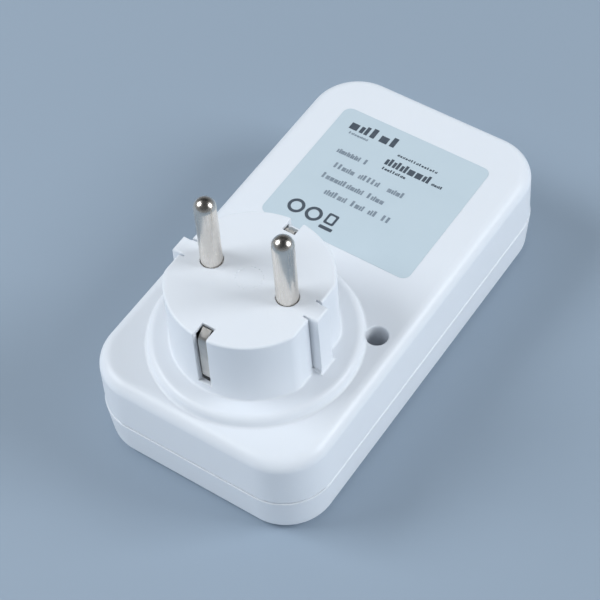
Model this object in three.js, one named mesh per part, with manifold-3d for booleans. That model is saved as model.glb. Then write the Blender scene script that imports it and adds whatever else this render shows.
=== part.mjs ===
// Plug-in power meter, lying face down: a rear housing with its moulded plug boss and two pins,
// a front shell with the through socket, five keys and a display, and what joins them inside.
// Millimetres, +Z up. X runs along the line of the pins, Y along the housing, and the origin is
// on the front face's plane under the middle of the housing.
import * as THREE from "three";
import { mergeVertices } from "three/addons/utils/BufferGeometryUtils.js";
import Module from "manifold-3d";

const wasm = await Module();
wasm.setup();

// ---------------------------------------------------------------- driving dimensions

const GAP = 0.3; // clearance between neighbouring pieces
const CUT = 1; // how far a cutting tool runs past the face it opens

// Housing halves, meeting at the parting line.
const CASE = {
  width: 57.4,
  length: 105,
  corner: 12,
  top: 25,
  wall: 2,
  rearBottom: 11,
  topFillet: 3,
  frontTop: 10.7,
  frontInset: 0.6,
  frontFillet: 2,
};
// Lap joint: a lip on the front shell stands in a rebate of the rear housing.
const LAP = { rebateInset: 0.9, rebateTop: 12.7, lipInset: 1.2, lipTop: 12.4, lipRoot: 9.5 };

// Plug boss with its round pedestal, and the two pins (Type F / E plug sizes).
const PLUG_Y = -25.5;
const PEDESTAL = { radius: 23.4, bottom: 24, top: 27.3, fillet: 1.8, recessRadius: 20.5, recessTop: 25.2 };
const BOSS = {
  radius: 18.05,
  flatX: 16.3,
  ribX: 18.2,
  ribHalf: 2.1,
  bottom: 26,
  top: 45.3,
  fillet: 0.9,
  mark: { radius: 2.8, depth: 0.2 },
};
const BOSS_HOLLOW = { radius: 16, halfX: 14.2, halfY: 12.2, top: 43.3 };
const NOTCH = { half: 1.6, inner: 14.4, bottom: 29.3, slotHalf: 1.5, slotTop: 30.9 };
const PIN = {
  x: 9.5,
  radius: 2.4,
  tip: 64.3,
  holeRadius: 2.58,
  headRadius: 3.3,
  headBottom: 39.4,
  headTop: 42.9,
  rivetRadius: 1.5,
  rivetBottom: 37.9,
};

// Through socket on the front face, coaxial with the plug.
const SOCKET = {
  outer: 21.2,
  openingRadius: 21.5,
  wellRadius: 19.3,
  wellFlatX: 17.3,
  grooveX: 19.1,
  grooveHalf: 2.7,
  floor: 17.5,
  back: 19.5,
  pinHole: 3,
  flangeRadius: 22.6,
  flangeBottom: 2.3,
  flangeTop: 3.6,
  rimFillet: 0.5,
};
const CLIP_SLOT = { half: 1.7, inner: 17.2, outer: 18.6 };
const HUB_POST = { radius: 1.7, top: 22.9, pilotRadius: 1.05, pilotBottom: 20.5 };

// Child-safety shutter that turns on the hub post behind the socket floor.
const SHUTTER = {
  radius: 12.7,
  bottom: 19.8,
  top: 21,
  hubRadius: 2.8,
  hubTop: 22.6,
  bore: 2,
  hole: 3.3,
  openAngle: 45,
};
const SPRING = { mean: 3.7, wire: 0.28, bottom: 21.45, pitch: 0.62, turns: 2, sides: 5, steps: 12 };
const RETAINER = {
  radius: 15,
  halfY: 9.4,
  bottom: 23,
  top: 24,
  screwHole: 1.1,
  footX: 12.6,
  footY: 7.6,
  footRadius: 1.2,
};
const RETAINER_SCREW = { head: 1.9, shaft: 0.8, bottom: 20.8, seat: 24.1, top: 25, slot: 0.5, slotDepth: 0.4 };

// Contact forks behind the socket holes, and the live pin's own terminal.
const FORK = { thickness: 0.6, length: 5, spread: 3.35, pinch: 2.78, mouth: 3.7, pinchZ: 30, mouthZ: 25 };
const NEUTRAL_FORK = { top: 38.8, hole: 1.8, tagBottom: 31 };
const LIVE_FORK = { top: 37, hole: 1, tagBottom: 29 };
const TAG = { y: 5.5, half: 1.5 };
const LIVE_TERMINAL = { z: 38.8, front: -3.5, tagY: 7.7, tagBottom: 33 };

// Earth parts: side strips of the plug, clips of the socket and the bridge between them.
const EARTH = { stripThickness: 0.7, stripWidth: 2.4, clipThickness: 0.6, clipWidth: 2.6, bridgeWidth: 4 };
const EARTH_STRIP_LINE = [
  [14.95, 44.9],
  [17, 43.2],
  [17, 31],
  [16.1, 30.1],
  [11.2, 30.1],
  [11.2, 25.6],
  [12.8, 24],
  [18, 24],
  [18, 21],
];
const EARTH_CLIP_LINE = [
  [14.2, 20.15],
  [17.9, 20.15],
  [17.9, 17],
  [16.3, 10.5],
  [18.3, 4],
];
const EARTH_BRIDGE_LINE = [
  [-10.2, 26],
  [-10.2, 39.6],
  [-9.3, 40.5],
  [9.3, 40.5],
  [10.2, 39.6],
  [10.2, 26],
];

// Screws, their wells in the rear housing and their posts in the front shell.
const SCREW_SPOTS = [
  [-22, -11.8],
  [22, -11.8],
  [-15, 21],
  [15, 21],
];
const SCREW_WELL = { radius: 2.5, tube: 3.8, tubeBottom: 12.5, seat: 14, shaftHole: 1.7 };
const SCREW_POST = { radius: 3.3, top: 12.2, pilot: 1.65, pilotBottom: 3.5 };
const SCREW = { head: 2.2, headTop: 15.9, seat: 14.1, shaft: 1.35, bottom: 4.2, cross: 2.8, crossWidth: 0.6, crossDepth: 0.9 };

const LABEL = { width: 39, length: 37, y: 22.5, corner: 2, bottom: 24.75, top: 24.95, margin: 0.2, recess: 24.7 };

// Display stack, from the window in the front face up to the display board.
const WINDOW = { y: 38, width: 36, height: 19, corner: 1.5, bottom: 0.3, top: 1.2, step: 1.4, lip: 1.5 };
const LCD_FRAME = { width: 40, height: 22.4, bottom: 2.3, shelf: 3.3, top: 6.7, pocketX: 36.8, pocketY: 18.8 };
const LCD = { width: 36.4, height: 18.4, bottom: 3.5, top: 5.3 };
const ZEBRA = { width: 32, depth: 2, bottom: 5.5, top: 6.8, offsetY: 7.6 };
const DISPLAY_BOARD = { half: 25, near: -1.5, far: 49.4, corner: 8.5, bottom: 7, top: 8.2, postHole: 3.7 };
const SHELL_POST = { x: 23, ys: [14, 30], radius: 1.5, top: 6.7 };

// Keys: five caps behind round holes, and the rubber mat between them and the display board.
const KEY_SPOTS = [
  [-14, 11.5],
  [0, 11.5],
  [14, 11.5],
  [-7, 2.8],
  [7, 2.8],
];
const KEY = { radius: 3.2, face: 0.3, edge: 0.8, hole: 3.5, flange: 4.1, flangeBottom: 2.3, flangeTop: 3, stem: 1.6, top: 3.4 };
const MAT = { half: 20.5, near: -1, far: 16.2, bottom: 5.7, top: 6.7, domeTip: 4.15, domeTipRadius: 1.9, domeRadius: 3 };

// Main board and the parts on it.
const MAIN_BOARD = { half: 24.5, near: -2.5, far: 49, corner: 8.5, bottom: 13.5, top: 15.1, tubeHole: 4.2 };
const BOARD_POST = { x: 21, ys: [3, 44], radius: 1.6, bottom: 15.4 };
const ON_BOARD = 15.4; // underside of everything on the main board's upper face
const FILM_CAP = { x: -8, y: 35, length: 18, width: 8, top: 22.3, corner: 0.8 };
const ROUND_CAP = { x: 12, y: 38, z: 18.9, radius: 3.3, length: 12, groove: 0.3 };
const VARISTOR = { x: -19, y: 9.5, radius: 4.3, bottom: 15.5, top: 18.7, round: 0.8 };
const FUSE = { x: -6, y: 9, z: 17.3, radius: 1.7, waist: 1.35, cap: 2, length: 10 };
const METER_CHIP = { x: 2, y: 18, length: 10, width: 4, bottom: 15.6, top: 17.1, legs: 5, legWidth: 0.4, legReach: 6 };
const SHUNT = { x: 14, y: 7.5, width: 3, thickness: 0.8, half: 4.5, foot: 2.2, bottom: 15.8, top: 19.4 };
const BATTERY = { x: 0, y: 36, radius: 8, bottom: 9.3, top: 12.9, step: 0.5, inner: 7.1 };
const HEADER = { y: 21, length: 14, width: 2.5, bottom: 8.5, top: 13.2 };
const DISPLAY_CHIP = { x: 12, y: 10, size: 9, bottom: 8.5, top: 9.9, legs: 5, legWidth: 0.4, legReach: 11.4 };
const CRYSTAL = { x: -14, y: 9, length: 10.5, width: 4.2, bottom: 8.5, top: 11.6, round: 2.1 };

// Insulated wires from the terminals over the socket's back edge to the main board.
const WIRE = { radius: 0.9, sides: 6, steps: 16 };
const WIRE_LIVE_IN = [
  [9.5, 9.2, 36.5],
  [9.5, 9.2, 29],
  [9.5, 10.2, 25.6],
  [9.5, 11.7, 23.4],
  [9.6, 15, 21.4],
  [9.8, 20.5, 20.7],
  [10, 24.4, 18.8],
  [10, 25.6, 16],
];
const WIRE_LIVE_OUT = [
  [8.8, 7, 31.4],
  [7, 7.8, 28.6],
  [6.5, 10.2, 25.6],
  [6.5, 11.7, 23.4],
  [6.4, 15, 21.4],
  [6.1, 20.5, 20.7],
  [5.8, 24.4, 18.8],
  [5.8, 25.6, 16],
];
const WIRE_NEUTRAL = [
  [-9.5, 7.1, 36.5],
  [-9.5, 7.6, 29],
  [-9.5, 10.2, 25.6],
  [-9.5, 11.7, 23.4],
  [-9.6, 15, 21.4],
  [-9.8, 20.5, 20.7],
  [-10, 24.4, 18.8],
  [-10, 25.6, 16],
];

// ---------------------------------------------------------------- materials

const LOOKS = {
  housing: [0xe9eef1, 0.42, 0],
  frontShell: [0xe4e9ec, 0.45, 0],
  socket: [0xdde3e7, 0.45, 0],
  shutter: [0xcfd6da, 0.5, 0],
  steel: [0xb9bcc0, 0.35, 1],
  nickel: [0xcdc9c2, 0.22, 1],
  brass: [0xc8a45c, 0.35, 1],
  copper: [0xb8704a, 0.4, 1],
  board: [0x1f6b42, 0.6, 0],
  chip: [0x1c1d20, 0.5, 0],
  filmCap: [0xd9b23a, 0.5, 0],
  roundCap: [0x22304a, 0.4, 0],
  varistor: [0x2a57a8, 0.5, 0],
  fuse: [0xb9a37c, 0.6, 0],
  rubber: [0x8d9499, 0.8, 0],
  key: [0x5c666e, 0.5, 0],
  window: [0xaebbb6, 0.1, 0],
  lcd: [0x93a08c, 0.25, 0],
  zebra: [0x3a3d40, 0.8, 0],
  label: [0xcfdde4, 0.5, 0],
  live: [0x6b3f24, 0.5, 0],
  neutral: [0x2f62a6, 0.5, 0],
};

function look(key) {
  const [color, roughness, metalness] = LOOKS[key];
  return new THREE.MeshStandardMaterial({ color, roughness, metalness });
}

// ---------------------------------------------------------------- solids and shapes

// Closed geometry to a solid that can be joined and cut.
function solid(geometry) {
  const bare = geometry.clone();
  bare.deleteAttribute("normal");
  bare.deleteAttribute("uv");
  const merged = mergeVertices(bare, 1e-4);
  return new wasm.Manifold(
    new wasm.Mesh({
      numProp: 3,
      vertProperties: merged.attributes.position.array,
      triVerts: new Uint32Array(merged.index.array),
    })
  );
}

// Solid back to a geometry with its own normals.
function geometryOf(body) {
  const mesh = body.getMesh();
  const geometry = new THREE.BufferGeometry();
  geometry.setAttribute("position", new THREE.BufferAttribute(mesh.vertProperties, 3));
  geometry.setIndex(new THREE.BufferAttribute(mesh.triVerts, 1));
  geometry.computeVertexNormals();
  return geometry;
}

function node(name, geometry, lookKey) {
  const mesh = new THREE.Mesh(geometry, look(lookKey));
  mesh.name = name;
  return mesh;
}

// Upright cylinder between two heights.
function rod(x, y, radius, bottom, top, sides = 24) {
  const geometry = new THREE.CylinderGeometry(radius, radius, top - bottom, sides);
  geometry.rotateX(Math.PI / 2);
  geometry.translate(x, y, (bottom + top) / 2);
  return geometry;
}

// Block between two corners.
function block(low, high) {
  const geometry = new THREE.BoxGeometry(high[0] - low[0], high[1] - low[1], high[2] - low[2]);
  geometry.translate((low[0] + high[0]) / 2, (low[1] + high[1]) / 2, (low[2] + high[2]) / 2);
  return geometry;
}

// Solid of revolution about the upright axis through (x, y); line holds [radius, height] pairs.
function turned(x, y, line, sides = 32) {
  const points = line.map(([radius, height]) => new THREE.Vector2(radius, height));
  const geometry = new THREE.LatheGeometry(points, sides);
  geometry.rotateX(Math.PI / 2);
  geometry.translate(x, y, 0);
  return geometry;
}

// Rectangle with one corner radius at its near end and another at its far end.
function plate(halfX, near, far, nearCorner, farCorner = nearCorner) {
  const shape = new THREE.Shape();
  shape.moveTo(-halfX + nearCorner, near);
  shape.lineTo(halfX - nearCorner, near);
  shape.absarc(halfX - nearCorner, near + nearCorner, nearCorner, -Math.PI / 2, 0, false);
  shape.lineTo(halfX, far - farCorner);
  shape.absarc(halfX - farCorner, far - farCorner, farCorner, 0, Math.PI / 2, false);
  shape.lineTo(-halfX + farCorner, far);
  shape.absarc(-halfX + farCorner, far - farCorner, farCorner, Math.PI / 2, Math.PI, false);
  shape.lineTo(-halfX, near + nearCorner);
  shape.absarc(-halfX + nearCorner, near + nearCorner, nearCorner, Math.PI, Math.PI * 1.5, false);
  return shape;
}

// Outline of the housing, moved inwards by inset.
function caseOutline(inset) {
  const half = CASE.width / 2 - inset;
  const end = CASE.length / 2 - inset;
  return plate(half, -end, end, CASE.corner - inset);
}

// Shape drawn upwards between two heights, with both ends rounded when a fillet is given.
function raised(shape, bottom, top, fillet = 0, curveSegments = 6) {
  const geometry = new THREE.ExtrudeGeometry(shape, {
    depth: top - bottom - 2 * fillet,
    curveSegments,
    bevelEnabled: fillet > 0,
    bevelThickness: fillet,
    bevelSize: fillet,
    bevelOffset: -fillet,
    bevelSegments: 3,
  });
  geometry.translate(0, 0, bottom + fillet);
  return geometry;
}

// Closed outline of a bent strip: line is its middle, [u, v] pairs.
function stripOutline(line, thickness) {
  const points = line.map(([u, v]) => new THREE.Vector2(u, v));
  const sides = [[], []];
  points.forEach((point, i) => {
    const before = points[Math.max(i - 1, 0)];
    const after = points[Math.min(i + 1, points.length - 1)];
    const into = (i > 0 ? point.clone().sub(before) : after.clone().sub(point)).normalize();
    const out = (i < points.length - 1 ? after.clone().sub(point) : into.clone()).normalize();
    const normalIn = new THREE.Vector2(-into.y, into.x);
    const normalOut = new THREE.Vector2(-out.y, out.x);
    const mitre = normalIn.clone().add(normalOut).normalize();
    const reach = thickness / 2 / mitre.dot(normalIn);
    sides[0].push(point.clone().addScaledVector(mitre, reach));
    sides[1].push(point.clone().addScaledVector(mitre, -reach));
  });
  return new THREE.Shape([...sides[0], ...sides[1].reverse()]);
}

// Strip bent in an upright plane: u runs along Y (times side), v is the height, the width lies along X.
function bentAlongY(line, thickness, width, x = 0, side = 1) {
  const geometry = new THREE.ExtrudeGeometry(stripOutline(line, thickness), { depth: width, bevelEnabled: false });
  geometry.translate(0, 0, -width / 2);
  const turn = new THREE.Matrix4().makeBasis(
    new THREE.Vector3(0, side, 0),
    new THREE.Vector3(0, 0, 1),
    new THREE.Vector3(side, 0, 0)
  );
  geometry.applyMatrix4(turn);
  geometry.translate(x, PLUG_Y, 0);
  return geometry;
}

function joined(bodies) {
  return bodies.reduce((whole, next) => whole.add(next));
}

// ---------------------------------------------------------------- housing

// Plug outline: a circle with two flats, each flat crossed by one guide rib.
function bossOutline() {
  const { radius, flatX, ribX, ribHalf } = BOSS;
  const flatAngle = Math.acos(flatX / radius);
  const shape = new THREE.Shape();
  shape.moveTo(ribX, -ribHalf);
  shape.lineTo(ribX, ribHalf);
  shape.lineTo(flatX, ribHalf);
  shape.lineTo(flatX, radius * Math.sin(flatAngle));
  shape.absarc(0, 0, radius, flatAngle, Math.PI - flatAngle, false);
  shape.lineTo(-flatX, ribHalf);
  shape.lineTo(-ribX, ribHalf);
  shape.lineTo(-ribX, -ribHalf);
  shape.lineTo(-flatX, -ribHalf);
  shape.lineTo(-flatX, -radius * Math.sin(flatAngle));
  shape.absarc(0, 0, radius, Math.PI + flatAngle, 2 * Math.PI - flatAngle, false);
  shape.lineTo(flatX, -ribHalf);
  return shape;
}

// Round pedestal between the housing's back and the boss, with a rounded upper edge.
function pedestalLine() {
  const { radius, bottom, top, fillet } = PEDESTAL;
  const line = [[0, bottom], [radius, bottom]];
  const steps = 4;
  for (let i = 0; i <= steps; i++) {
    const angle = (i / steps) * (Math.PI / 2);
    line.push([radius - fillet + fillet * Math.cos(angle), top - fillet + fillet * Math.sin(angle)]);
  }
  line.push([0, top]);
  return line;
}

// Hollow of the boss: a round bore cut to a block.
function bossHollow() {
  const { radius, halfX, halfY, top } = BOSS_HOLLOW;
  const bore = solid(rod(0, PLUG_Y, radius, PEDESTAL.bottom, top, 40));
  const slab = solid(block([-halfX, PLUG_Y - halfY, 0], [halfX, PLUG_Y + halfY, top + CUT]));
  return bore.intersect(slab);
}

// Earth notch in one side of the boss, with the slot its strip goes in by.
function earthNotch(side) {
  const { half, inner, bottom, slotHalf, slotTop } = NOTCH;
  const mouth = PLUG_Y + side * (BOSS.radius + CUT);
  const back = PLUG_Y + side * inner;
  const slotEnd = PLUG_Y + side * (inner + CUT);
  const near = PLUG_Y + side * (BOSS_HOLLOW.halfY - CUT);
  const notch = block([-half, Math.min(mouth, back), bottom], [half, Math.max(mouth, back), BOSS.top + CUT]);
  const slot = block([-slotHalf, Math.min(near, slotEnd), bottom], [slotHalf, Math.max(near, slotEnd), slotTop]);
  return solid(notch).add(solid(slot));
}

function rearHousing() {
  const half = CASE.width / 2 + CUT;
  const end = CASE.length / 2 + CUT;
  const below = block([-half, -end, -CUT], [half, end, CASE.rearBottom]);
  let body = solid(raised(caseOutline(0), 2, CASE.top, CASE.topFillet)).subtract(solid(below));
  body = body.subtract(solid(raised(caseOutline(CASE.wall), 0, CASE.top - CASE.wall, 0, 5)));
  body = body.subtract(solid(raised(caseOutline(LAP.rebateInset), 0, LAP.rebateTop, 0, 5)));
  body = body.add(solid(turned(0, PLUG_Y, pedestalLine(), 44)));
  const boss = raised(bossOutline(), BOSS.bottom - CUT, BOSS.top, BOSS.fillet, 14);
  body = body.add(solid(boss.translate(0, PLUG_Y, 0)));
  for (const [x, y] of SCREW_SPOTS) {
    body = body.add(solid(rod(x, y, SCREW_WELL.tube, SCREW_WELL.tubeBottom, CASE.top - CASE.wall + CUT, 20)));
  }
  for (const side of [-1, 1]) {
    for (const y of BOARD_POST.ys) {
      const post = rod(side * BOARD_POST.x, y, BOARD_POST.radius, BOARD_POST.bottom, CASE.top - CUT, 10);
      body = body.add(solid(post));
    }
  }
  const recess = rod(0, PLUG_Y, PEDESTAL.recessRadius, CASE.top - CASE.wall - CUT, PEDESTAL.recessTop, 40);
  const mark = rod(0, PLUG_Y, BOSS.mark.radius, BOSS.top - BOSS.mark.depth, BOSS.top + CUT, 24);
  const cuts = [solid(recess), bossHollow(), solid(mark), earthNotch(-1), earthNotch(1)];
  for (const side of [-1, 1]) {
    cuts.push(solid(rod(side * PIN.x, PLUG_Y, PIN.holeRadius, BOSS_HOLLOW.top - CUT, BOSS.top + CUT, 20)));
  }
  for (const [x, y] of SCREW_SPOTS) {
    cuts.push(solid(rod(x, y, SCREW_WELL.radius, SCREW_WELL.seat, CASE.top + CUT, 18)));
    cuts.push(solid(rod(x, y, SCREW_WELL.shaftHole, SCREW_WELL.tubeBottom - CUT, SCREW_WELL.seat + CUT, 12)));
  }
  const labelShape = plate(
    LABEL.width / 2 + LABEL.margin,
    LABEL.y - LABEL.length / 2 - LABEL.margin,
    LABEL.y + LABEL.length / 2 + LABEL.margin,
    LABEL.corner + LABEL.margin
  );
  cuts.push(solid(raised(labelShape, LABEL.recess, CASE.top + CUT, 0, 5)));
  return geometryOf(cuts.reduce((whole, tool) => whole.subtract(tool), body));
}

function frontShell() {
  const half = CASE.width / 2 + CUT;
  const end = CASE.length / 2 + CUT;
  const above = block([-half, -end, CASE.frontTop], [half, end, CASE.top]);
  const outer = raised(caseOutline(CASE.frontInset), 0, CASE.top - CUT, CASE.frontFillet);
  let body = solid(outer).subtract(solid(above));
  body = body.add(solid(raised(caseOutline(LAP.lipInset), LAP.lipRoot, LAP.lipTop, 0, 5)));
  const inner = caseOutline(CASE.frontInset + CASE.wall);
  body = body.subtract(solid(raised(inner, CASE.wall, CASE.top, 0, 5)));
  for (const [x, y] of SCREW_SPOTS) {
    body = body.add(solid(rod(x, y, SCREW_POST.radius, CASE.wall / 2, SCREW_POST.top, 20)));
  }
  for (const side of [-1, 1]) {
    for (const y of SHELL_POST.ys) {
      body = body.add(solid(rod(side * SHELL_POST.x, y, SHELL_POST.radius, CASE.wall / 2, SHELL_POST.top, 10)));
    }
  }
  const cuts = [solid(rod(0, PLUG_Y, SOCKET.openingRadius, -CUT, CASE.wall + CUT, 44))];
  for (const [x, y] of SCREW_SPOTS) {
    cuts.push(solid(rod(x, y, SCREW_POST.pilot, SCREW_POST.pilotBottom, SCREW_POST.top + CUT, 12)));
  }
  for (const [x, y] of KEY_SPOTS) {
    cuts.push(solid(rod(x, y, KEY.hole, -CUT, CASE.wall + CUT, 18)));
  }
  const bed = plate(
    WINDOW.width / 2 + GAP,
    WINDOW.y - WINDOW.height / 2 - GAP,
    WINDOW.y + WINDOW.height / 2 + GAP,
    WINDOW.corner + GAP
  );
  const sight = plate(
    WINDOW.width / 2 - WINDOW.lip,
    WINDOW.y - WINDOW.height / 2 + WINDOW.lip,
    WINDOW.y + WINDOW.height / 2 - WINDOW.lip,
    WINDOW.corner
  );
  cuts.push(solid(raised(bed, -CUT, WINDOW.step, 0, 4)));
  cuts.push(solid(raised(sight, -CUT, CASE.wall + CUT, 0, 4)));
  return geometryOf(cuts.reduce((whole, tool) => whole.subtract(tool), body));
}

function rearLabel() {
  const { width, length, y, corner, bottom, top } = LABEL;
  return raised(plate(width / 2, y - length / 2, y + length / 2, corner), bottom, top, 0, 5);
}

// Pan-head screw with a cross recess.
function caseScrew([x, y]) {
  const { head, headTop, seat, shaft, bottom, cross, crossWidth, crossDepth } = SCREW;
  const line = [[0, bottom], [shaft * 0.4, bottom], [shaft, bottom + 1.5], [shaft, seat], [head, seat]];
  line.push([head, headTop - 0.7], [head * 0.72, headTop], [0, headTop]);
  const blank = solid(turned(x, y, line, 16));
  const deep = headTop - crossDepth;
  const high = headTop + CUT;
  const long = cross / 2;
  const wide = crossWidth / 2;
  const one = solid(block([x - long, y - wide, deep], [x + long, y + wide, high]));
  const other = solid(block([x - wide, y - long, deep], [x + wide, y + long, high]));
  return geometryOf(blank.subtract(one.add(other)));
}

// ---------------------------------------------------------------- socket and shutter

// Well of the socket: the negative of a plug's side, with a groove for each guide rib.
function socketWell() {
  const { wellRadius, wellFlatX, grooveX, grooveHalf, floor } = SOCKET;
  const round = solid(rod(0, PLUG_Y, wellRadius, -CUT, floor, 44));
  const flats = solid(block([-wellFlatX, PLUG_Y - wellRadius - CUT, -CUT * 2], [wellFlatX, PLUG_Y + wellRadius + CUT, floor + CUT]));
  const grooves = solid(block([-grooveX, PLUG_Y - grooveHalf, -CUT], [grooveX, PLUG_Y + grooveHalf, floor]));
  return round.intersect(flats).add(grooves);
}

function socketInsert() {
  const { outer, back, rimFillet, flangeRadius, flangeBottom, flangeTop, pinHole, floor } = SOCKET;
  const line = [[0, 0], [outer - rimFillet, 0], [outer, rimFillet], [outer, flangeBottom]];
  line.push([flangeRadius, flangeBottom], [flangeRadius, flangeTop], [outer, flangeTop], [outer, back], [0, back]);
  let body = solid(turned(0, PLUG_Y, line, 44));
  body = body.add(solid(rod(0, PLUG_Y, HUB_POST.radius, back - CUT, HUB_POST.top, 20)));
  const cuts = [socketWell()];
  cuts.push(solid(rod(0, PLUG_Y, HUB_POST.pilotRadius, HUB_POST.pilotBottom, HUB_POST.top + CUT, 12)));
  for (const side of [-1, 1]) {
    cuts.push(solid(rod(side * PIN.x, PLUG_Y, pinHole, floor - CUT, back + CUT, 24)));
    const ends = [PLUG_Y + side * CLIP_SLOT.inner, PLUG_Y + side * CLIP_SLOT.outer];
    const low = [-CLIP_SLOT.half, Math.min(...ends), floor - CUT];
    cuts.push(solid(block(low, [CLIP_SLOT.half, Math.max(...ends), back + CUT])));
  }
  for (const [x, y] of SCREW_SPOTS) {
    cuts.push(solid(rod(x, y, SCREW_POST.radius + GAP, flangeBottom - CUT, flangeTop + CUT, 16)));
  }
  return geometryOf(cuts.reduce((whole, tool) => whole.subtract(tool), body));
}

// Disc with two pin holes, shown closed: the holes stand openAngle away from the pins' line.
function shutter() {
  const { radius, bottom, top, hubRadius, hubTop, bore, hole, openAngle } = SHUTTER;
  let body = solid(rod(0, PLUG_Y, radius, bottom, top, 30));
  body = body.add(solid(rod(0, PLUG_Y, hubRadius, bottom, hubTop, 20)));
  body = body.subtract(solid(rod(0, PLUG_Y, bore, bottom - CUT, hubTop + CUT, 20)));
  for (const turn of [0, 180]) {
    const angle = THREE.MathUtils.degToRad(turn - openAngle);
    const x = PIN.x * Math.cos(angle);
    const y = PLUG_Y + PIN.x * Math.sin(angle);
    body = body.subtract(solid(rod(x, y, hole, bottom - CUT, top + CUT, 14)));
  }
  return geometryOf(body);
}

class Helix extends THREE.Curve {
  getPoint(t) {
    const angle = t * SPRING.turns * 2 * Math.PI;
    const z = SPRING.bottom + t * SPRING.turns * SPRING.pitch;
    return new THREE.Vector3(SPRING.mean * Math.cos(angle), PLUG_Y + SPRING.mean * Math.sin(angle), z);
  }
}

// Round section drawn along a curve.
function drawn(curve, radius, sides, steps) {
  const section = new THREE.Shape();
  for (let i = 0; i < sides; i++) {
    const angle = (i / sides) * 2 * Math.PI;
    const point = [radius * Math.cos(angle), radius * Math.sin(angle)];
    if (i === 0) {
      section.moveTo(...point);
    } else {
      section.lineTo(...point);
    }
  }
  return new THREE.ExtrudeGeometry(section, { steps, extrudePath: curve, bevelEnabled: false });
}

function shutterSpring() {
  return drawn(new Helix(), SPRING.wire, SPRING.sides, SPRING.turns * SPRING.steps);
}

function shutterRetainer() {
  const { radius, halfY, bottom, top, screwHole, footX, footY, footRadius } = RETAINER;
  const slab = solid(block([-radius - CUT, PLUG_Y - halfY, 0], [radius + CUT, PLUG_Y + halfY, top + CUT]));
  let body = solid(rod(0, PLUG_Y, radius, bottom, top, 30)).intersect(slab);
  for (const side of [-1, 1]) {
    for (const end of [-1, 1]) {
      const foot = rod(side * footX, PLUG_Y + end * footY, footRadius, SOCKET.back + GAP, bottom + GAP, 10);
      body = body.add(solid(foot));
    }
  }
  body = body.subtract(solid(rod(0, PLUG_Y, screwHole, bottom - CUT, top + CUT, 12)));
  for (const side of [-1, 1]) {
    body = body.subtract(solid(rod(side * PIN.x, PLUG_Y, SHUTTER.hole, bottom - CUT, top + CUT, 14)));
  }
  return geometryOf(body);
}

function retainerScrew() {
  const { head, shaft, bottom, seat, top, slot, slotDepth } = RETAINER_SCREW;
  const blank = solid(turned(0, PLUG_Y, [[0, bottom], [shaft, bottom], [shaft, seat], [head, seat], [head, top], [0, top]], 14));
  const cut = block([-head - CUT, PLUG_Y - slot / 2, top - slotDepth], [head + CUT, PLUG_Y + slot / 2, top + CUT]);
  return geometryOf(blank.subtract(solid(cut)));
}

// ---------------------------------------------------------------- pins, contacts and earth parts

// Solid pin with a half-round end, a shoulder behind the boss's face and a riveting end.
function pin(side) {
  const { x, radius, tip, headRadius, headBottom, headTop, rivetRadius, rivetBottom } = PIN;
  const line = [[0, rivetBottom], [rivetRadius, rivetBottom], [rivetRadius, headBottom], [headRadius, headBottom]];
  line.push([headRadius, headTop], [radius, headTop]);
  const steps = 5;
  for (let i = 0; i <= steps; i++) {
    const angle = (i / steps) * (Math.PI / 2);
    line.push([i === steps ? 0 : radius * Math.cos(angle), tip - radius + radius * Math.sin(angle)]);
  }
  return turned(side * x, PLUG_Y, line, 20);
}

// Fork whose two leaves grip a pin of the plug above, with a tag for its wire.
function contactFork(side, { top, hole, tagBottom }) {
  const { thickness, length, spread, pinch, mouth, pinchZ, mouthZ } = FORK;
  const line = [[-mouth, mouthZ], [-pinch, pinchZ], [-spread, top], [spread, top], [pinch, pinchZ], [mouth, mouthZ]];
  const x = side * PIN.x;
  const leaves = solid(bentAlongY(line, thickness, length, x));
  const tagLine = [[spread - 1, top], [TAG.y, top], [TAG.y, tagBottom]];
  const tag = solid(bentAlongY(tagLine, thickness, TAG.half * 2, x));
  const rivetHole = solid(rod(x, PLUG_Y, hole, top - CUT, top + CUT, 20));
  return geometryOf(leaves.add(tag).subtract(rivetHole));
}

// Plate riveted under the live pin, bent down to a tag for its wire.
function liveTerminal() {
  const { z, front, tagY, tagBottom } = LIVE_TERMINAL;
  const bent = solid(bentAlongY([[front, z], [tagY, z], [tagY, tagBottom]], FORK.thickness, FORK.length, PIN.x));
  const rivetHole = solid(rod(PIN.x, PLUG_Y, PIN.rivetRadius + GAP, z - CUT, z + CUT, 20));
  return geometryOf(bent.subtract(rivetHole));
}

function earthStrip(side) {
  return bentAlongY(EARTH_STRIP_LINE, EARTH.stripThickness, EARTH.stripWidth, 0, side);
}

function earthClip(side) {
  return bentAlongY(EARTH_CLIP_LINE, EARTH.clipThickness, EARTH.clipWidth, 0, side);
}

function earthBridge() {
  return bentAlongY(EARTH_BRIDGE_LINE, EARTH.stripThickness, EARTH.bridgeWidth);
}

function wire(route) {
  const points = route.map(([x, y, z]) => new THREE.Vector3(x, PLUG_Y + y, z));
  return drawn(new THREE.CatmullRomCurve3(points), WIRE.radius, WIRE.sides, WIRE.steps);
}

// ---------------------------------------------------------------- boards and their parts

function board({ half, near, far, corner, bottom, top }, holeRadius) {
  let body = solid(raised(plate(half, near, far, 1, corner), bottom, top, 0, 5));
  for (const [x, y] of SCREW_SPOTS.slice(2)) {
    body = body.subtract(solid(rod(x, y, holeRadius, bottom - CUT, top + CUT, 20)));
  }
  return geometryOf(body);
}

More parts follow.
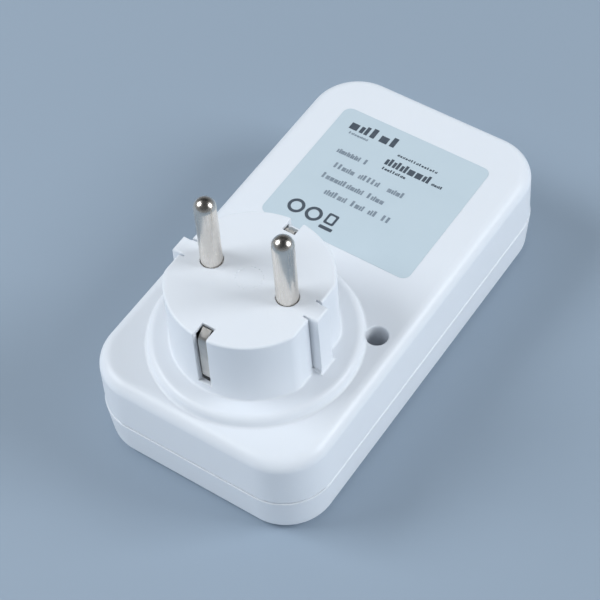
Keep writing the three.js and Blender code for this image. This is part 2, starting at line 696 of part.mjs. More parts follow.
// Flat chip with a row of bent legs along its two long sides.
function chip({ x, y, length, width, bottom, top, legs, legWidth, legReach }) {
  const body = block([x - length / 2, y - width / 2, bottom], [x + length / 2, y + width / 2, top]);
  const parts = [solid(body)];
  const legHeight = 0.25;
  const middle = (bottom + top) / 2;
  const foot = bottom - 0.1;
  for (let i = 0; i < legs; i++) {
    const legX = x + ((i + 0.5) / legs - 0.5) * length;
    const left = legX - legWidth / 2;
    const right = legX + legWidth / 2;
    parts.push(solid(block([left, y - legReach / 2, middle - legHeight / 2], [right, y + legReach / 2, middle + legHeight / 2])));
    for (const side of [-1, 1]) {
      const outer = y + (side * legReach) / 2;
      const inner = outer - side * legHeight;
      parts.push(solid(block([left, Math.min(outer, inner), foot], [right, Math.max(outer, inner), middle])));
    }
  }
  return geometryOf(joined(parts));
}

function filmCapacitor() {
  const { x, y, length, width, top, corner } = FILM_CAP;
  const shape = plate(length / 2, -width / 2, width / 2, corner);
  return raised(shape, ON_BOARD, top, 0, 3).translate(x, y, 0);
}

// Can lying on its side along X, with the groove near its bung.
function roundCapacitor() {
  const { x, y, z, radius, length, groove } = ROUND_CAP;
  const line = [[0, 0], [radius - groove, 0], [radius, groove], [radius, 1.4], [radius - groove, 1.8], [radius, 2.2]];
  line.push([radius, length - groove], [radius - groove, length], [0, length]);
  const geometry = turned(0, 0, line, 20);
  geometry.rotateY(Math.PI / 2);
  return geometry.translate(x - length / 2, y, z);
}

function varistor() {
  const { x, y, radius, bottom, top, round } = VARISTOR;
  const line = [[0, bottom], [radius - round, bottom], [radius, bottom + round], [radius, top - round]];
  line.push([radius - round, top], [0, top]);
  return turned(x, y, line, 20);
}

// Fusible resistor lying along X, thicker at its two caps.
function fuseResistor() {
  const { x, y, z, radius, waist, cap, length } = FUSE;
  const line = [[0, 0], [radius, 0], [radius, cap], [waist, cap + 0.5], [waist, length - cap - 0.5]];
  line.push([radius, length - cap], [radius, length], [0, length]);
  const geometry = turned(0, 0, line, 16);
  geometry.rotateY(Math.PI / 2);
  return geometry.translate(x - length / 2, y, z);
}

// Copper strap on two feet that carries the load's current.
function shunt() {
  const { x, y, width, thickness, half, foot, bottom, top } = SHUNT;
  const line = [[-half - foot, bottom], [-half, bottom], [-half, top], [half, top], [half, bottom], [half + foot, bottom]];
  const geometry = new THREE.ExtrudeGeometry(stripOutline(line, thickness), { depth: width, bevelEnabled: false });
  geometry.rotateX(Math.PI / 2);
  return geometry.translate(x, y + width / 2, 0);
}

function backupBattery() {
  const { x, y, radius, bottom, top, step, inner } = BATTERY;
  const line = [[0, bottom], [inner, bottom], [inner, bottom + step], [radius, bottom + step], [radius, top], [0, top]];
  return turned(x, y, line, 28);
}

function boardHeader() {
  const { y, length, width, bottom, top } = HEADER;
  return block([-length / 2, y - width / 2, bottom], [length / 2, y + width / 2, top]);
}

function crystal() {
  const { x, y, length, width, bottom, top, round } = CRYSTAL;
  const shape = plate(length / 2, -width / 2, width / 2, round - 0.05);
  return raised(shape, bottom, top, 0, 5).translate(x, y, 0);
}

// ---------------------------------------------------------------- display and keys

function lcdFrame() {
  const { width, height, bottom, shelf, top, pocketX, pocketY } = LCD_FRAME;
  const { y, lip } = WINDOW;
  const outer = solid(block([-width / 2, y - height / 2, bottom], [width / 2, y + height / 2, top]));
  const pocket = solid(block([-pocketX / 2, y - pocketY / 2, shelf], [pocketX / 2, y + pocketY / 2, top + CUT]));
  const sightX = WINDOW.width / 2 - lip;
  const sightY = WINDOW.height / 2 - lip;
  const sight = solid(block([-sightX, y - sightY, bottom - CUT], [sightX, y + sightY, shelf + CUT]));
  return geometryOf(outer.subtract(pocket).subtract(sight));
}

function lcdGlass() {
  const { width, height, bottom, top } = LCD;
  return block([-width / 2, WINDOW.y - height / 2, bottom], [width / 2, WINDOW.y + height / 2, top]);
}

function zebraStrip() {
  const { width, depth, bottom, top, offsetY } = ZEBRA;
  const y = WINDOW.y + offsetY;
  return block([-width / 2, y - depth / 2, bottom], [width / 2, y + depth / 2, top]);
}

function lcdWindow() {
  const { y, width, height, corner, bottom, top } = WINDOW;
  return raised(plate(width / 2, y - height / 2, y + height / 2, corner), bottom, top, 0, 4);
}

// Key cap: a round face with a broken edge, a flange behind the wall and a short stem.
function keyCap([x, y]) {
  const { radius, face, edge, flange, flangeBottom, flangeTop, stem, top } = KEY;
  const line = [[0, face], [radius - edge + face, face], [radius, edge], [radius, flangeBottom]];
  line.push([flange, flangeBottom], [flange, flangeTop], [stem, flangeTop], [stem, top], [0, top]);
  return turned(x, y, line, 16);
}

// Rubber mat with one dome over each key, drawn as pressed so the stems stay clear of it.
function keypadMat() {
  const { half, near, far, bottom, top, domeTip, domeTipRadius, domeRadius } = MAT;
  let body = solid(raised(plate(half, near, far, 1), bottom, top, 0, 3));
  for (const [x, y] of KEY_SPOTS) {
    const line = [[0, domeTip], [domeTipRadius, domeTip], [domeRadius, bottom], [domeRadius, bottom + 0.5], [0, bottom + 0.5]];
    body = body.add(solid(turned(x, y, line, 16)));
  }
  return geometryOf(body);
}

// ---------------------------------------------------------------- assembly

const meter = new THREE.Group();
meter.name = "plug_in_power_meter";

meter.add(node("rear_housing", rearHousing(), "housing"));
meter.add(node("front_shell", frontShell(), "frontShell"));
meter.add(node("rear_label", rearLabel(), "label"));
SCREW_SPOTS.forEach((spot, i) => meter.add(node(`case_screw_${i + 1}`, caseScrew(spot), "steel")));

meter.add(node("socket_insert", socketInsert(), "socket"));
meter.add(node("shutter", shutter(), "shutter"));
meter.add(node("shutter_spring", shutterSpring(), "steel"));
meter.add(node("shutter_retainer", shutterRetainer(), "shutter"));
meter.add(node("retainer_screw", retainerScrew(), "steel"));

meter.add(node("neutral_pin", pin(-1), "nickel"));
meter.add(node("live_pin", pin(1), "nickel"));
meter.add(node("neutral_contact", contactFork(-1, NEUTRAL_FORK), "brass"));
meter.add(node("live_contact", contactFork(1, LIVE_FORK), "brass"));
meter.add(node("live_terminal", liveTerminal(), "brass"));
meter.add(node("earth_strip_near", earthStrip(-1), "nickel"));
meter.add(node("earth_strip_far", earthStrip(1), "nickel"));
meter.add(node("earth_clip_near", earthClip(-1), "nickel"));
meter.add(node("earth_clip_far", earthClip(1), "nickel"));
meter.add(node("earth_bridge", earthBridge(), "brass"));
meter.add(node("wire_live_in", wire(WIRE_LIVE_IN), "live"));
meter.add(node("wire_live_out", wire(WIRE_LIVE_OUT), "live"));
meter.add(node("wire_neutral", wire(WIRE_NEUTRAL), "neutral"));

meter.add(node("main_board", board(MAIN_BOARD, MAIN_BOARD.tubeHole), "board"));
meter.add(node("film_capacitor", filmCapacitor(), "filmCap"));
meter.add(node("round_capacitor", roundCapacitor(), "roundCap"));
meter.add(node("varistor", varistor(), "varistor"));
meter.add(node("fuse_resistor", fuseResistor(), "fuse"));
meter.add(node("metering_chip", chip(METER_CHIP), "chip"));
meter.add(node("shunt", shunt(), "copper"));
meter.add(node("backup_battery", backupBattery(), "steel"));
meter.add(node("board_header", boardHeader(), "chip"));

meter.add(node("display_board", board(DISPLAY_BOARD, DISPLAY_BOARD.postHole), "board"));
meter.add(node("display_chip", chip({ ...DISPLAY_CHIP, length: DISPLAY_CHIP.size, width: DISPLAY_CHIP.size }), "chip"));
meter.add(node("crystal", crystal(), "steel"));
meter.add(node("lcd_frame", lcdFrame(), "chip"));
meter.add(node("lcd_glass", lcdGlass(), "lcd"));
meter.add(node("zebra_strip", zebraStrip(), "zebra"));
meter.add(node("lcd_window", lcdWindow(), "window"));
meter.add(node("keypad_mat", keypadMat(), "rubber"));
KEY_SPOTS.forEach((spot, i) => meter.add(node(`key_${i + 1}`, keyCap(spot), "key")));

export default meter;
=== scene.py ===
import math

import bmesh
import bpy
import numpy as np
from mathutils import Matrix, Vector


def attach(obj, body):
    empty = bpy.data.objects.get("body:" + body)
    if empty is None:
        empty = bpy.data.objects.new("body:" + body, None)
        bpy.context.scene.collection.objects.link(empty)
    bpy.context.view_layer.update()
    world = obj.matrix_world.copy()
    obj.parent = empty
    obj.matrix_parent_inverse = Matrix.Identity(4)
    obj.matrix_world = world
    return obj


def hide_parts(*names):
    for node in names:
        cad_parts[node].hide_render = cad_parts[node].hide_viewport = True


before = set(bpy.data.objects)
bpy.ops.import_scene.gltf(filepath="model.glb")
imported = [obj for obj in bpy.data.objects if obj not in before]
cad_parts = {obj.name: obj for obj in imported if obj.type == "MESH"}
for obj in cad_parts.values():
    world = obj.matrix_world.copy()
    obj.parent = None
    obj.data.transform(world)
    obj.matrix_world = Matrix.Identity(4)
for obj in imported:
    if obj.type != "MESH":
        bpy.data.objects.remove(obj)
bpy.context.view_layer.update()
MM = 0.001

# ---------------------------------------------------------------- studio
# The meter lies face down on a plain pale blue-grey table. Two soft boxes light it, one high on
# its left and one lower on its right, and the camera looks down on its back from the near corner.

VIEW_AZIMUTH = math.radians(37.427)
VIEW_ELEVATION = math.radians(52.546)
VIEW_ROLL = math.radians(-4.665)
VIEW_TARGET = Vector((-4.321, -3.339, 10.0)) * MM
VIEW_DISTANCE = 439.115 * MM

backward = Vector((
    math.sin(VIEW_AZIMUTH) * math.cos(VIEW_ELEVATION),
    -math.cos(VIEW_AZIMUTH) * math.cos(VIEW_ELEVATION),
    math.sin(VIEW_ELEVATION),
))
level_right = (-backward).cross(Vector((0, 0, 1))).normalized()
level_up = level_right.cross(-backward)
view_right = math.cos(VIEW_ROLL) * level_right + math.sin(VIEW_ROLL) * level_up
view_up = -math.sin(VIEW_ROLL) * level_right + math.cos(VIEW_ROLL) * level_up

camera_data = bpy.data.cameras.new("camera")
camera_data.lens = 116.19
camera_data.sensor_width = 36
camera_data.clip_start = 0.01
camera_data.clip_end = 20
camera = bpy.data.objects.new("camera", camera_data)
camera.matrix_world = Matrix.Translation(VIEW_TARGET + VIEW_DISTANCE * backward) @ Matrix(
    (view_right, view_up, backward)
).transposed().to_4x4()
bpy.context.scene.collection.objects.link(camera)
bpy.context.scene.camera = camera


def shader(name, color, roughness, metallic=0.0, **sockets):
    """A plain material; even values go straight on its shader's own sockets."""
    material = bpy.data.materials.new(name)
    material.use_nodes = True
    principled = material.node_tree.nodes["Principled BSDF"]
    principled.inputs["Base Color"].default_value = (*color, 1)
    principled.inputs["Roughness"].default_value = roughness
    principled.inputs["Metallic"].default_value = metallic
    for socket, value in sockets.items():
        principled.inputs[socket.replace("_", " ")].default_value = value
    return material


def noise(material, scale, detail=2.0, stretch=None):
    """Noise on the piece's own coordinates; scale is in patches a metre."""
    tree = material.node_tree
    place = tree.nodes.new("ShaderNodeTexCoord")
    pattern = tree.nodes.new("ShaderNodeTexNoise")
    pattern.inputs["Scale"].default_value = scale
    pattern.inputs["Detail"].default_value = detail
    if stretch:
        mapping = tree.nodes.new("ShaderNodeMapping")
        mapping.inputs["Scale"].default_value = stretch
        tree.links.new(place.outputs["Object"], mapping.inputs["Vector"])
        tree.links.new(mapping.outputs["Vector"], pattern.inputs["Vector"])
    else:
        tree.links.new(place.outputs["Object"], pattern.inputs["Vector"])
    return pattern.outputs["Fac"]


def tinted(rgb, factor):
    """The same colour, lighter or darker by a factor."""
    return tuple(factor * c for c in rgb)


def ramp(material, source, stops, socket):
    """Runs source through a colour ramp into one of the shader's sockets."""
    tree = material.node_tree
    node = tree.nodes.new("ShaderNodeValToRGB")
    elements = node.color_ramp.elements
    for i, (position, value) in enumerate(stops):
        element = elements[i] if i < 2 else elements.new(position)
        element.position = position
        element.color = (*value, 1) if isinstance(value, tuple) else (value, value, value, 1)
    tree.links.new(source, node.inputs["Fac"])
    tree.links.new(node.outputs["Color"], tree.nodes["Principled BSDF"].inputs[socket])


def bump(material, height, depth, strength=1.0):
    """Relief of the given depth in metres."""
    tree = material.node_tree
    node = tree.nodes.new("ShaderNodeBump")
    node.inputs["Strength"].default_value = strength
    node.inputs["Distance"].default_value = depth
    tree.links.new(height, node.inputs["Height"])
    tree.links.new(node.outputs["Normal"], tree.nodes["Principled BSDF"].inputs["Normal"])


table_top = shader("table_top", (0.312, 0.386, 0.47), 0.6)
ramp(table_top, noise(table_top, 3.0, 1.0),
     [(0.3, (0.308, 0.382, 0.465)), (0.7, (0.316, 0.39, 0.475))], "Base Color")
TABLE_HALF, TABLE_GAP = 3, 0.0002
table = bpy.data.objects.new("table", bpy.data.meshes.new("table"))
shape = bmesh.new()
bmesh.ops.create_grid(shape, x_segments=1, y_segments=1, size=TABLE_HALF)
shape.to_mesh(table.data)
shape.free()
table.location.z = -TABLE_GAP
table.data.materials.append(table_top)
bpy.context.scene.collection.objects.link(table)


def soft_box(name, towards, distance, size, power, color):
    """Square soft box that looks at the meter from a direction given in the view's own terms."""
    lamp = bpy.data.lights.new(name, "AREA")
    lamp.shape = "RECTANGLE"
    lamp.size, lamp.size_y = size
    lamp.energy = power
    lamp.color = color
    box = bpy.data.objects.new(name, lamp)
    right, away, up = towards
    ahead = Vector((-math.sin(VIEW_AZIMUTH), math.cos(VIEW_AZIMUTH), 0))
    direction = (right * level_right + away * ahead + up * Vector((0, 0, 1))).normalized()
    box.location = direction * distance
    box.rotation_euler = direction.to_track_quat("Z", "Y").to_euler()
    bpy.context.scene.collection.objects.link(box)


BOX_SIZE, BOX_LIGHT = (0.5, 0.5), (0.915, 0.957, 1.0)
soft_box("left_soft_box", (-0.69, 0.11, 0.71), 1.1, BOX_SIZE, 6.4, BOX_LIGHT)
soft_box("right_soft_box", (0.81, -0.14, 0.56), 1.2, BOX_SIZE, 7.3, BOX_LIGHT)

# Pale walls all round fill the shadows under a darker ceiling. Every glossy reflection sees the same
# room much darker, which is a choice made for the looks: no real room does that.
world = bpy.data.worlds.new("studio")
world.use_nodes = True
room = world.node_tree
sky_place = room.nodes.new("ShaderNodeTexCoord")
sky_height = room.nodes.new("ShaderNodeSeparateXYZ")
room.links.new(sky_place.outputs["Generated"], sky_height.inputs["Vector"])


CEILING_FROM = 0.6


def room_light(at_walls, at_ceiling):
    """Brightness of the room, falling from its walls to its ceiling."""
    fall = room.nodes.new("ShaderNodeMapRange")
    fall.inputs["From Max"].default_value = CEILING_FROM
    fall.inputs["To Min"].default_value = at_walls
    fall.inputs["To Max"].default_value = at_ceiling
    room.links.new(sky_height.outputs["Z"], fall.inputs["Value"])
    return fall.outputs["Result"]


ray = room.nodes.new("ShaderNodeLightPath")
fill = room.nodes.new("ShaderNodeMix")
room.links.new(ray.outputs["Is Glossy Ray"], fill.inputs["Factor"])
room.links.new(room_light(1.55, 0.29), fill.inputs["A"])
room.links.new(room_light(0.3, 0.03), fill.inputs["B"])
room.links.new(fill.outputs["Result"], room.nodes["Background"].inputs["Strength"])
room.nodes["Background"].inputs["Color"].default_value = (0.87, 0.935, 1.0, 1)
bpy.context.scene.world = world
bpy.context.scene.view_settings.view_transform = "Standard"

# ---------------------------------------------------------------- rear housing
# The back half of the case, injection moulded in white ABS with draft on its sides and soft edges.
# It has a rebate for the front shell's lip and four screw wells.

CASE_HALF = (28.7, 52.5)
CASE_CORNER = 12.0
PARTING = 11.0
CASE_BACK = 25.0
CASE_DRAFT = 0.22
SEAM_STEP = 0.18
CASE_EDGE = 3.0
CASE_WALL = 2.0
WELLS = [(-22.0, -11.8), (22.0, -11.8), (-15.0, 21.0), (15.0, 21.0)]
WELL_RADIUS, WELL_SEAT, WELL_TUBE, WELL_BORE = 2.5, 14.0, 3.8, 1.7
TUBE_FROM, POST_FROM, INSIDE_TOP = 12.5, 15.4, 24
REBATE_WALL, REBATE_TOP = 1.25, 12.7
BOARD_POSTS = [(side * 21.0, y) for side in (-1, 1) for y in (3.0, 44.0)]
BOARD_POST_RADIUS, PLUG_OPENING = 1.6, 22.0
PAST = 40
PLUG_Y = -25.5


def round_rect(x, y, half_x, half_y, corner):
    """Distance from a rectangle with rounded corners, negative inside."""
    over_x = np.abs(x) - half_x + corner
    over_y = np.abs(y) - half_y + corner
    outside = np.hypot(np.maximum(over_x, 0), np.maximum(over_y, 0))
    return outside + np.minimum(np.maximum(over_x, over_y), 0) - corner


def disc(x, y, centre, radius):
    return np.hypot(x - centre[0], y - centre[1]) - radius


def upright(outline, z, bottom, top, edge=0.0):
    """Raises an outline between two heights, with its end edges rounded by edge."""
    over_side = outline + edge
    over_end = np.abs(z - (bottom + top) / 2) - (top - bottom) / 2 + edge
    outside = np.hypot(np.maximum(over_side, 0), np.maximum(over_end, 0))
    return outside + np.minimum(np.maximum(over_side, over_end), 0) - edge


def fuse(a, b, soft=0.0):
    """Joins two bodies, with a fillet of about soft in the corner between them."""
    if not soft:
        return np.minimum(a, b)
    share = np.clip(0.5 + 0.5 * (b - a) / soft, 0, 1)
    return b + (a - b) * share - soft * share * (1 - share)


def cut(a, tool, soft=0.0):
    """Cuts tool out of a body, with the new edges eased by about soft."""
    return -fuse(-a, tool, soft)


def grid_lines(*spans):
    """Places of the sampling planes, given as (start, end, step) spans."""
    runs = [np.linspace(a, b, max(2, round((b - a) / step) + 1))[:-1] for a, b, step in spans]
    return np.append(np.concatenate(runs), spans[-1][1])


def moulded(name, body, xs, ys, zs):
    """Closed mesh of the surface of a body given as a distance in millimetres."""
    field = body(xs[:, None, None], ys[None, :, None], zs[None, None, :]).astype(np.float32)
    solid = field < 0
    shifts = [(i, j, k) for i in (0, 1) for j in (0, 1) for k in (0, 1)]
    size = [n - 1 for n in solid.shape]
    corners = [solid[i:i + size[0], j:j + size[1], k:k + size[2]] for i, j, k in shifts]
    cells = np.argwhere(np.logical_or.reduce(corners) & ~np.logical_and.reduce(corners))
    number = np.full(size, -1, np.int32)
    number[tuple(cells.T)] = np.arange(len(cells))
    planes = (xs, ys, zs)
    low = np.stack([planes[i][cells[:, i]] for i in range(3)], 1)
    high = np.stack([planes[i][cells[:, i] + 1] for i in range(3)], 1)
    total, count = np.zeros((len(cells), 3)), np.zeros(len(cells))
    for axis in range(3):
        u, v = (axis + 1) % 3, (axis + 2) % 3
        for a in (0, 1):
            for b in (0, 1):
                start = cells.copy()
                start[:, u] += a
                start[:, v] += b
                end = start.copy()
                end[:, axis] += 1
                f0, f1 = field[tuple(start.T)], field[tuple(end.T)]
                crossed = (f0 < 0) != (f1 < 0)
                far_side = np.eye(3, dtype=bool)[u] * a + np.eye(3, dtype=bool)[v] * b
                point = np.where(far_side, high, low)
                along = f0[crossed] / (f0[crossed] - f1[crossed])
                point = point[crossed]
                point[:, axis] += along * (high - low)[crossed, axis]
                total[crossed] += point
                count[crossed] += 1
    points = total / count[:, None]
    reach, floor, passes = 0.01, 0.3, 4
    for _ in range(passes):
        slope = np.stack([
            (body(*(points + step).T) - body(*(points - step).T)) / (2 * reach)
            for step in np.eye(3) * reach
        ], 1)
        steepness = np.maximum((slope ** 2).sum(1), floor)
        points = np.clip(points - slope * (body(*points.T) / steepness)[:, None], low, high)
    quads = []
    for axis in range(3):
        u, v = (axis + 1) % 3, (axis + 2) % 3
        near = np.moveaxis(solid, axis, 0)[:-1]
        far = np.moveaxis(solid, axis, 0)[1:]
        edges = np.argwhere(np.moveaxis(near != far, 0, axis))
        outward = solid[tuple(edges.T)]
        back_u, back_v = np.eye(3, dtype=int)[u], np.eye(3, dtype=int)[v]
        ring = [edges - back_u - back_v, edges - back_v, edges, edges - back_u]
        faces = np.stack([number[tuple(cell.T)] for cell in ring], 1)
        faces[~outward] = faces[~outward][:, ::-1]
        quads.append(faces)
    quads = np.concatenate(quads)
    mesh = bpy.data.meshes.new(name)
    mesh.vertices.add(len(points))
    mesh.vertices.foreach_set("co", (points * MM).astype(np.float32).ravel())
    mesh.loops.add(quads.size)
    mesh.loops.foreach_set("vertex_index", quads.astype(np.int32).ravel())
    mesh.polygons.add(len(quads))
    mesh.polygons.foreach_set("loop_start", np.arange(0, quads.size, 4, dtype=np.int32))
    mesh.update(calc_edges=True)
    mesh.validate()
    mesh.shade_smooth()
    slope /= np.maximum(np.linalg.norm(slope, axis=1), 1e-9)[:, None]
    mesh.normals_split_custom_set_from_vertices(slope.astype(np.float32))
    piece = bpy.data.objects.new(name, mesh)
    bpy.context.scene.collection.objects.link(piece)
    return piece


def rear_case(x, y, z):
    inset = SEAM_STEP + CASE_DRAFT * np.clip((z - PARTING) / (CASE_BACK - PARTING), 0, 1)
    outline = round_rect(x, y, *CASE_HALF, CASE_CORNER)
    body = upright(outline + inset, z, -PAST, CASE_BACK, CASE_EDGE)
    body = np.maximum(body, PARTING - z)
    hollow = upright(outline + CASE_WALL, z, -PAST, CASE_BACK - CASE_WALL, 1.0)
    rebate = upright(outline + REBATE_WALL, z, -PAST, REBATE_TOP)
    body = cut(body, fuse(hollow, rebate), 0.15)
    for well in WELLS:
        body = fuse(body, upright(disc(x, y, well, WELL_TUBE), z, TUBE_FROM, INSIDE_TOP), 0.3)
    for post in BOARD_POSTS:
        post_body = upright(disc(x, y, post, BOARD_POST_RADIUS), z, POST_FROM, INSIDE_TOP)
        body = fuse(body, post_body, 0.3)
    for well in WELLS:
        body = cut(body, upright(disc(x, y, well, WELL_RADIUS), z, WELL_SEAT, PAST), 0.35)
        body = cut(body, upright(disc(x, y, well, WELL_BORE), z, 0, PAST))
    return cut(body, upright(disc(x, y, (0, PLUG_Y), PLUG_OPENING), z, 0, PAST))


white_abs = shader("white_abs", (0.80, 0.83, 0.87), 0.36, Specular_IOR_Level=0.42,
                   Subsurface_Weight=0.06, Subsurface_Radius=(0.0012, 0.0011, 0.001),
                   Subsurface_Scale=1.0)
ramp(white_abs, noise(white_abs, 60.0),
     [(0.3, (0.795, 0.825, 0.867)), (0.7, (0.805, 0.833, 0.873))], "Base Color")
ramp(white_abs, noise(white_abs, 900.0, 4.0), [(0.25, 0.33), (0.75, 0.40)], "Roughness")
bump(white_abs, noise(white_abs, 5200.0, 3.0), 0.000012, 0.5)


def finish_piece(piece, material, body, replaced=()):
    """Gives a made piece its finish and its place on the frame."""
    piece.data.materials.clear()
    piece.data.materials.append(material)
    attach(piece, body)
    if replaced:
        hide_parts(*replaced)
    return piece


rear_housing_case = moulded(
    "rear_housing_case", rear_case,
    grid_lines((-29.2, -24.6, 0.46), (-24.6, 24.6, 0.64), (24.6, 29.2, 0.46)),
    grid_lines((-53.0, -48.0, 0.5), (-48.0, -16.0, 0.8), (-16.0, -8.0, 0.44), (-8.0, 3.0, 0.8),
               (3.0, 42.0, 0.9), (42.0, 48.0, 0.7), (48.0, 53.0, 0.5)),
    grid_lines((10.7, 13.0, 0.3), (13.0, 21.6, 0.6), (21.6, 24.6, 0.4), (24.6, 25.3, 0.12)),
)
finish_piece(rear_housing_case, white_abs, "meter", ["rear_housing"])

# ---------------------------------------------------------------- plug boss and pedestal
# One moulding with the rear housing: a low round pedestal with a rolled edge, and on it the plug's
# round end with two flats, a guide rib on each flat with a slit at its root, and two earth notches.

PEDESTAL_RADIUS, PEDESTAL_TOP, PEDESTAL_EDGE = 23.4, 27.3, 1.8
BOSS_TOP, BOSS_RADIUS, BOSS_FLAT, BOSS_RIB = 45.3, 18.05, 16.3, 18.2
BOSS_DRAFT, DRAFT_FROM, DRAFT_RUN = 0.25, 27, 18.3
RIB_HALF, SLIT_WIDTH, SLIT_FROM, SLIT_FLOOR = 2.1, 0.42, 14.9, 28.2
HOLLOW_RADIUS, HOLLOW_HALF, HOLLOW_TOP = 16.0, (14.2, 12.2), 43.3
STRIP_FLOOR, STRIP_TOP, MARK_RADIUS = 28.4, 44.2, 2.8
OVER = 60
NOTCH_HALF, NOTCH_BACK, NOTCH_FLOOR = 1.6, 14.4, 29.3
PIN_X = 9.5


def slab(u, v, low_u, high_u, low_v, high_v):
    """Distance from an upright block, by its two plan ranges."""
    return np.maximum(np.abs(u - (low_u + high_u) / 2) - (high_u - low_u) / 2,
                      np.abs(v - (low_v + high_v) / 2) - (high_v - low_v) / 2)


def plug_end(x, y, z):
    y = y - PLUG_Y
    across, along = np.abs(x), np.abs(y)
    taper = BOSS_DRAFT * np.clip((z - DRAFT_FROM) / DRAFT_RUN, 0, 1) - BOSS_DRAFT
    pedestal = upright(disc(x, y, (0, 0), PEDESTAL_RADIUS), z, 20, PEDESTAL_TOP, PEDESTAL_EDGE)
    skirt = np.maximum(fuse(pedestal, z - CASE_BACK, 0.9), disc(x, y, (0, 0), 24.25))
    rounded = -fuse(-disc(x, y, (0, 0), BOSS_RADIUS), BOSS_FLAT - across, 0.5)
    outline = fuse(rounded, slab(across, along, 0, BOSS_RIB, -9, RIB_HALF), 0.15)
    body = fuse(skirt, upright(outline + taper, z, 20, BOSS_TOP, 0.55), 0.5)
    root_slit = slab(across, along, SLIT_FROM, 30, RIB_HALF, RIB_HALF + SLIT_WIDTH)
    body = cut(body, upright(root_slit, z, SLIT_FLOOR, OVER), 0.05)
    notch = slab(x, along, -NOTCH_HALF, NOTCH_HALF, NOTCH_BACK, 30)
    body = cut(body, upright(notch, z, NOTCH_FLOOR, OVER), 0.15)
    half_x, half_y = HOLLOW_HALF
    hollow = np.maximum(disc(x, y, (0, 0), HOLLOW_RADIUS),
                        slab(x, y, -half_x, half_x, -half_y, half_y))
    body = cut(body, upright(hollow, z, 0, HOLLOW_TOP))
    body = cut(body, upright(disc(x, y, (0, 0), 20.5), z, 0, 25.2))
    strip_space = slab(x, along, -2.7, 2.7, 11, 16.8)
    body = cut(body, upright(strip_space, z, STRIP_FLOOR, STRIP_TOP))
    body = cut(body, upright(slab(x, along, -5.5, 5.5, 9, 15.4), z, STRIP_FLOOR, HOLLOW_TOP))
    body = cut(body, upright(disc(across, y, (PIN_X, 0), 2.48), z, 40, OVER), 0.1)
    moulding_mark = np.abs(disc(x, y, (0, 0), MARK_RADIUS)) - 0.15
    body = cut(body, upright(moulding_mark, z, BOSS_TOP - 0.05, OVER), 0.06)
    body = np.maximum(body, 23.2 - z)
    body = np.maximum(body, np.where(z < 24.6, disc(x, y, (0, 0), 21.95), -99))
    for well in WELLS[:2]:
        body = cut(body, upright(disc(x, y + PLUG_Y, well, WELL_RADIUS), z, 0, OVER), 0.2)
    return body


plug_boss = moulded(
    "plug_boss", plug_end,
    grid_lines((-24.7, -19.2, 0.42), (-19.2, -3.2, 0.38), (-3.2, 3.2, 0.19), (3.2, 19.2, 0.38),
               (19.2, 24.7, 0.42)),
    grid_lines((-24.7, -19.2, 0.42), (-19.2, -3.2, 0.38), (-3.2, -2.6, 0.2), (-2.6, -1.95, 0.13),
               (-1.95, 1.95, 0.2), (1.95, 2.6, 0.13), (2.6, 3.2, 0.2), (3.2, 19.2, 0.38),
               (19.2, 24.7, 0.42)) + PLUG_Y,
    grid_lines((22.9, 25.0, 0.42), (25.0, 29.0, 0.3), (29.0, 44.4, 0.4), (44.4, 45.5, 0.16)),
)
finish_piece(plug_boss, white_abs, "meter", ["rear_housing"])

# ---------------------------------------------------------------- plug pins
# Two turned brass pins, nickel plated, with half-round polished ends. Each has a shoulder behind
# the boss's face and a riveting end inside.

PIN_RADIUS, PIN_TIP = 2.4, 64.3
SHARP_ABOVE = math.radians(38)


def turned(name, centre, line, sides):
    """Solid turned about an upright axis; line holds (radius, height) pairs in millimetres."""
    shape = bmesh.new()
    rings = []
    for radius, height in line:
        count = 1 if radius < 1e-6 else sides
        ring = []
        for i in range(count):
            a = 2 * math.pi * i / sides
            x, y = centre[0] + radius * math.cos(a), centre[1] + radius * math.sin(a)
            ring.append(shape.verts.new((x * MM, y * MM, height * MM)))
        rings.append(ring)
    for low, high in zip(rings, rings[1:]):
        for i in range(sides):
            j = (i + 1) % sides
            if len(low) == 1:
                shape.faces.new((low[0], high[j], high[i]))
            elif len(high) == 1:
                shape.faces.new((low[i], low[j], high[0]))
            else:
                shape.faces.new((low[i], low[j], high[j], high[i]))
    bmesh.ops.recalc_face_normals(shape, faces=shape.faces)
    return made(name, shape)


def made(name, shape, smooth=True):
    """Turns a finished bmesh into a piece at the origin."""
    mesh = bpy.data.meshes.new(name)
    shape.to_mesh(mesh)
    shape.free()
    if smooth:
        mesh.shade_smooth()
        mesh.set_sharp_from_angle(angle=SHARP_ABOVE)
    piece = bpy.data.objects.new(name, mesh)
    bpy.context.scene.collection.objects.link(piece)
    return piece


def quarter(radius, height, size, start, end, steps):
    """Points of a rounded corner centred on (radius, height), from one angle to another."""
    angles = [math.radians(start + (end - start) * i / steps) for i in range(steps + 1)]
    return [(radius + size * math.cos(a), height + size * math.sin(a)) for a in angles]


nickel = shader("nickel_plate", (0.79, 0.74, 0.68), 0.2, 1.0)
ramp(nickel, noise(nickel, 1400.0, 3.0, (1.0, 1.0, 0.06)),
     [(0.3, 0.2), (0.7, 0.32)], "Roughness")
ramp(nickel, noise(nickel, 500.0, 3.0),
     [(0.3, (0.76, 0.71, 0.65)), (0.7, (0.82, 0.77, 0.71))], "Base Color")

for pin_name, side in (("neutral_pin", -1), ("live_pin", 1)):
    pin_line = [(0, 37.9), *quarter(1.25, 38.15, 0.25, -90, 0, 3), (1.5, 39.4), (3.1, 39.4),
                (3.3, 39.6), (3.3, 42.7), (3.1, 42.9), (PIN_RADIUS, 42.9), (PIN_RADIUS, 50.0)]
    pin_line += [*quarter(0, PIN_TIP - PIN_RADIUS, PIN_RADIUS, 0, 88, 16), (0, PIN_TIP)]
    pin = turned(pin_name + "_turned", (side * PIN_X, PLUG_Y), pin_line, 64)
    finish_piece(pin, nickel, "meter", [pin_name])

